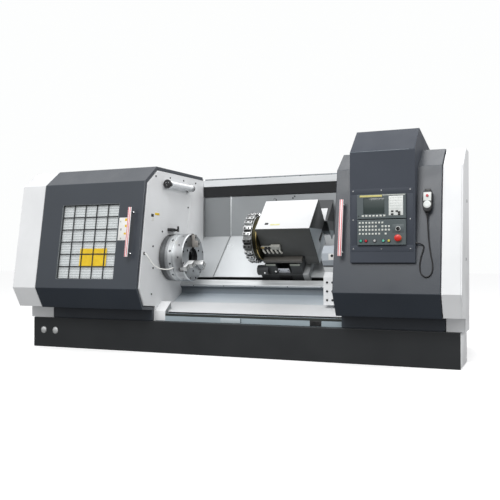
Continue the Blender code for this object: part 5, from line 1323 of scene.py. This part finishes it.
KNOB = CONSOLE_FACE @ moved(1.690, 1.131, UNIT_TOP + 0.0003)
turn(shape, KNOB, [(0.0, 0.002), (0.0195, 0.002), (0.020, 0.0), (0.0, 0.0)], 32, 1)
knob = [(0.0, 0.022), (0.0115, 0.022), (0.0135, 0.020), (0.0145, 0.004), (0.016, 0.002)]
turn(shape, KNOB, knob + [(0.0, 0.002)], 32, 0)
block(shape, KNOB, (-0.003, 0.003), (-0.015, 0.015), (0.019, 0.0220), 0.001, 0)
piece("override_dial", shape, [black_plastic, key_white], "right_door", "override_knob")
shape = bmesh.new()
STOP = CONSOLE_FACE @ moved(1.691, 1.058, UNIT_TOP + 0.0003)
stop_red = mottled(
    "stop_red", (0.62, 0.028, 0.020), 0.25, 30.0, (0.56, 0.022, 0.016), (0.68, 0.036, 0.026),
    Coat_Weight=0.3,
)
stop_orange = coloured("stop_orange", (0.85, 0.36, 0.05))
mushroom = [
    (0.0, 0.030), (0.014, 0.0295), (0.022, 0.027), (0.0265, 0.022), (0.027, 0.0165),
    (0.0255, 0.0135), (0.019, 0.0135), (0.0175, 0.004), (0.0, 0.004),
]
turn(shape, STOP, mushroom, 40, 0)
turn(shape, STOP, [(0.0, 0.004), (0.0265, 0.004), (0.027, 0.0), (0.0, 0.0)], 40, 1)
piece("stop_button", shape, [stop_red, stop_orange], "right_door", "emergency_stop")

# Hand pendant: a black moulded grip with a light face, a red selector, a dial and a side
# button, hung on the door by its hook.
shape = bmesh.new()
PENDANT_TOP = PENDANT_STAND + PENDANT_DEPTH
grip = [
    (1.889, 0.648), (1.924, 0.648), (1.936, 0.664), (1.944, 0.700), (1.944, 0.806), (1.932, 0.820),
    (1.881, 0.820), (1.869, 0.806), (1.869, 0.700), (1.877, 0.664),
]
slab(shape, DOOR_FACE, grip, (PENDANT_STAND, PENDANT_TOP), 0.006, 0, 3)
block(shape, DOOR_FACE, (1.884, 1.929), (0.814, 0.8385), (0.0005, 0.040), 0.003, 0)
strap = (0.0005, PENDANT_STAND + 0.004)
block(shape, DOOR_FACE, (1.8945, 1.9185), (0.770, 0.8395), strap, 0.0015, 3)
face_plate = (PENDANT_TOP - 0.001, PENDANT_TOP + 0.0015)
block(shape, DOOR_FACE, (1.876, 1.937), (0.738, 0.806), face_plate, 0.001, 1)
selector = [(0.0, 0.012), (0.008, 0.012), (0.010, 0.010), (0.0115, 0.0), (0.0, 0.0)]
turn(shape, DOOR_FACE @ moved(1.9065, 0.778, PENDANT_TOP + 0.0015), selector, 28, 2)
dial = [(0.0, 0.010), (0.020, 0.010), (0.0215, 0.008), (0.029, 0.006), (0.030, 0.004)]
dial += [(0.030, 0.0), (0.0, 0.0)]
turn(shape, DOOR_FACE @ moved(1.9065, 0.708, PENDANT_TOP - 0.001), dial, 48, 1)
side_button = [(0.0, 0.008), (0.007, 0.008), (0.009, 0.0), (0.0, 0.0)]
turn(shape, DOOR_FACE @ moved(1.869, 0.762, 0.030) @ rotated(-90, "Y"), side_button, 20, 0)
knob_red = coloured("knob_red", (0.50, 0.02, 0.03))
piece(
    "hand_pendant", shape, [black_plastic, key_white, knob_red, black_steel], "right_door",
    "pendant",
)
shape = bmesh.new()
gland = [
    (0.0, 0.016), (0.0062, 0.016), (0.0085, 0.013), (0.0085, 0.009), (0.010, 0.008),
    (0.010, 0.0003), (0.0, 0.0003),
]
turn(shape, HOUSE @ moved(1.820, -0.242, 1.015) @ TURNED_ON_X, gland, 12)
piece("gland", shape, [black_plastic], "right_door", "cord_gland")

# Electrical cabinet at the rear: a white box with one door on hinges, a swing handle and
# two louvred vents.
dress(white_paint, "electrical_cabinet", "cabinet_door")
shape = bmesh.new()
half_hinge = [(0.0, 0.040), (0.007, 0.040), (0.009, 0.038)]
hinge = half_hinge + [(radius, -height) for radius, height in half_hinge[::-1]]
for up in (0.55, 1.00, 1.45):
    turn(shape, moved(-2.018, FRONT + 1.586, up), hinge, 20)
block(shape, HOUSE, (-0.975, -0.935), (1.588, 1.5955), (0.94, 1.12), 0.003)
block(shape, HOUSE, (-0.968, -0.942), (1.5955, 1.5998), (0.955, 1.095), 0.002)
piece("cabinet_fittings", shape, [black_plastic], "frame")
slat = [(0.0, 0.0), (0.0, 0.014), (0.006, 0.003), (0.006, 0.0)]
shape = bmesh.new()
for start in (0.48, 1.36):
    for up in spread(start, 0.022, 8):
        slab(shape, HOUSE @ moved(-1.63, 1.588, up) @ ALONG_X, slat, (0.0, 0.36))
piece("cabinet_vents", shape, [white_paint], "frame")
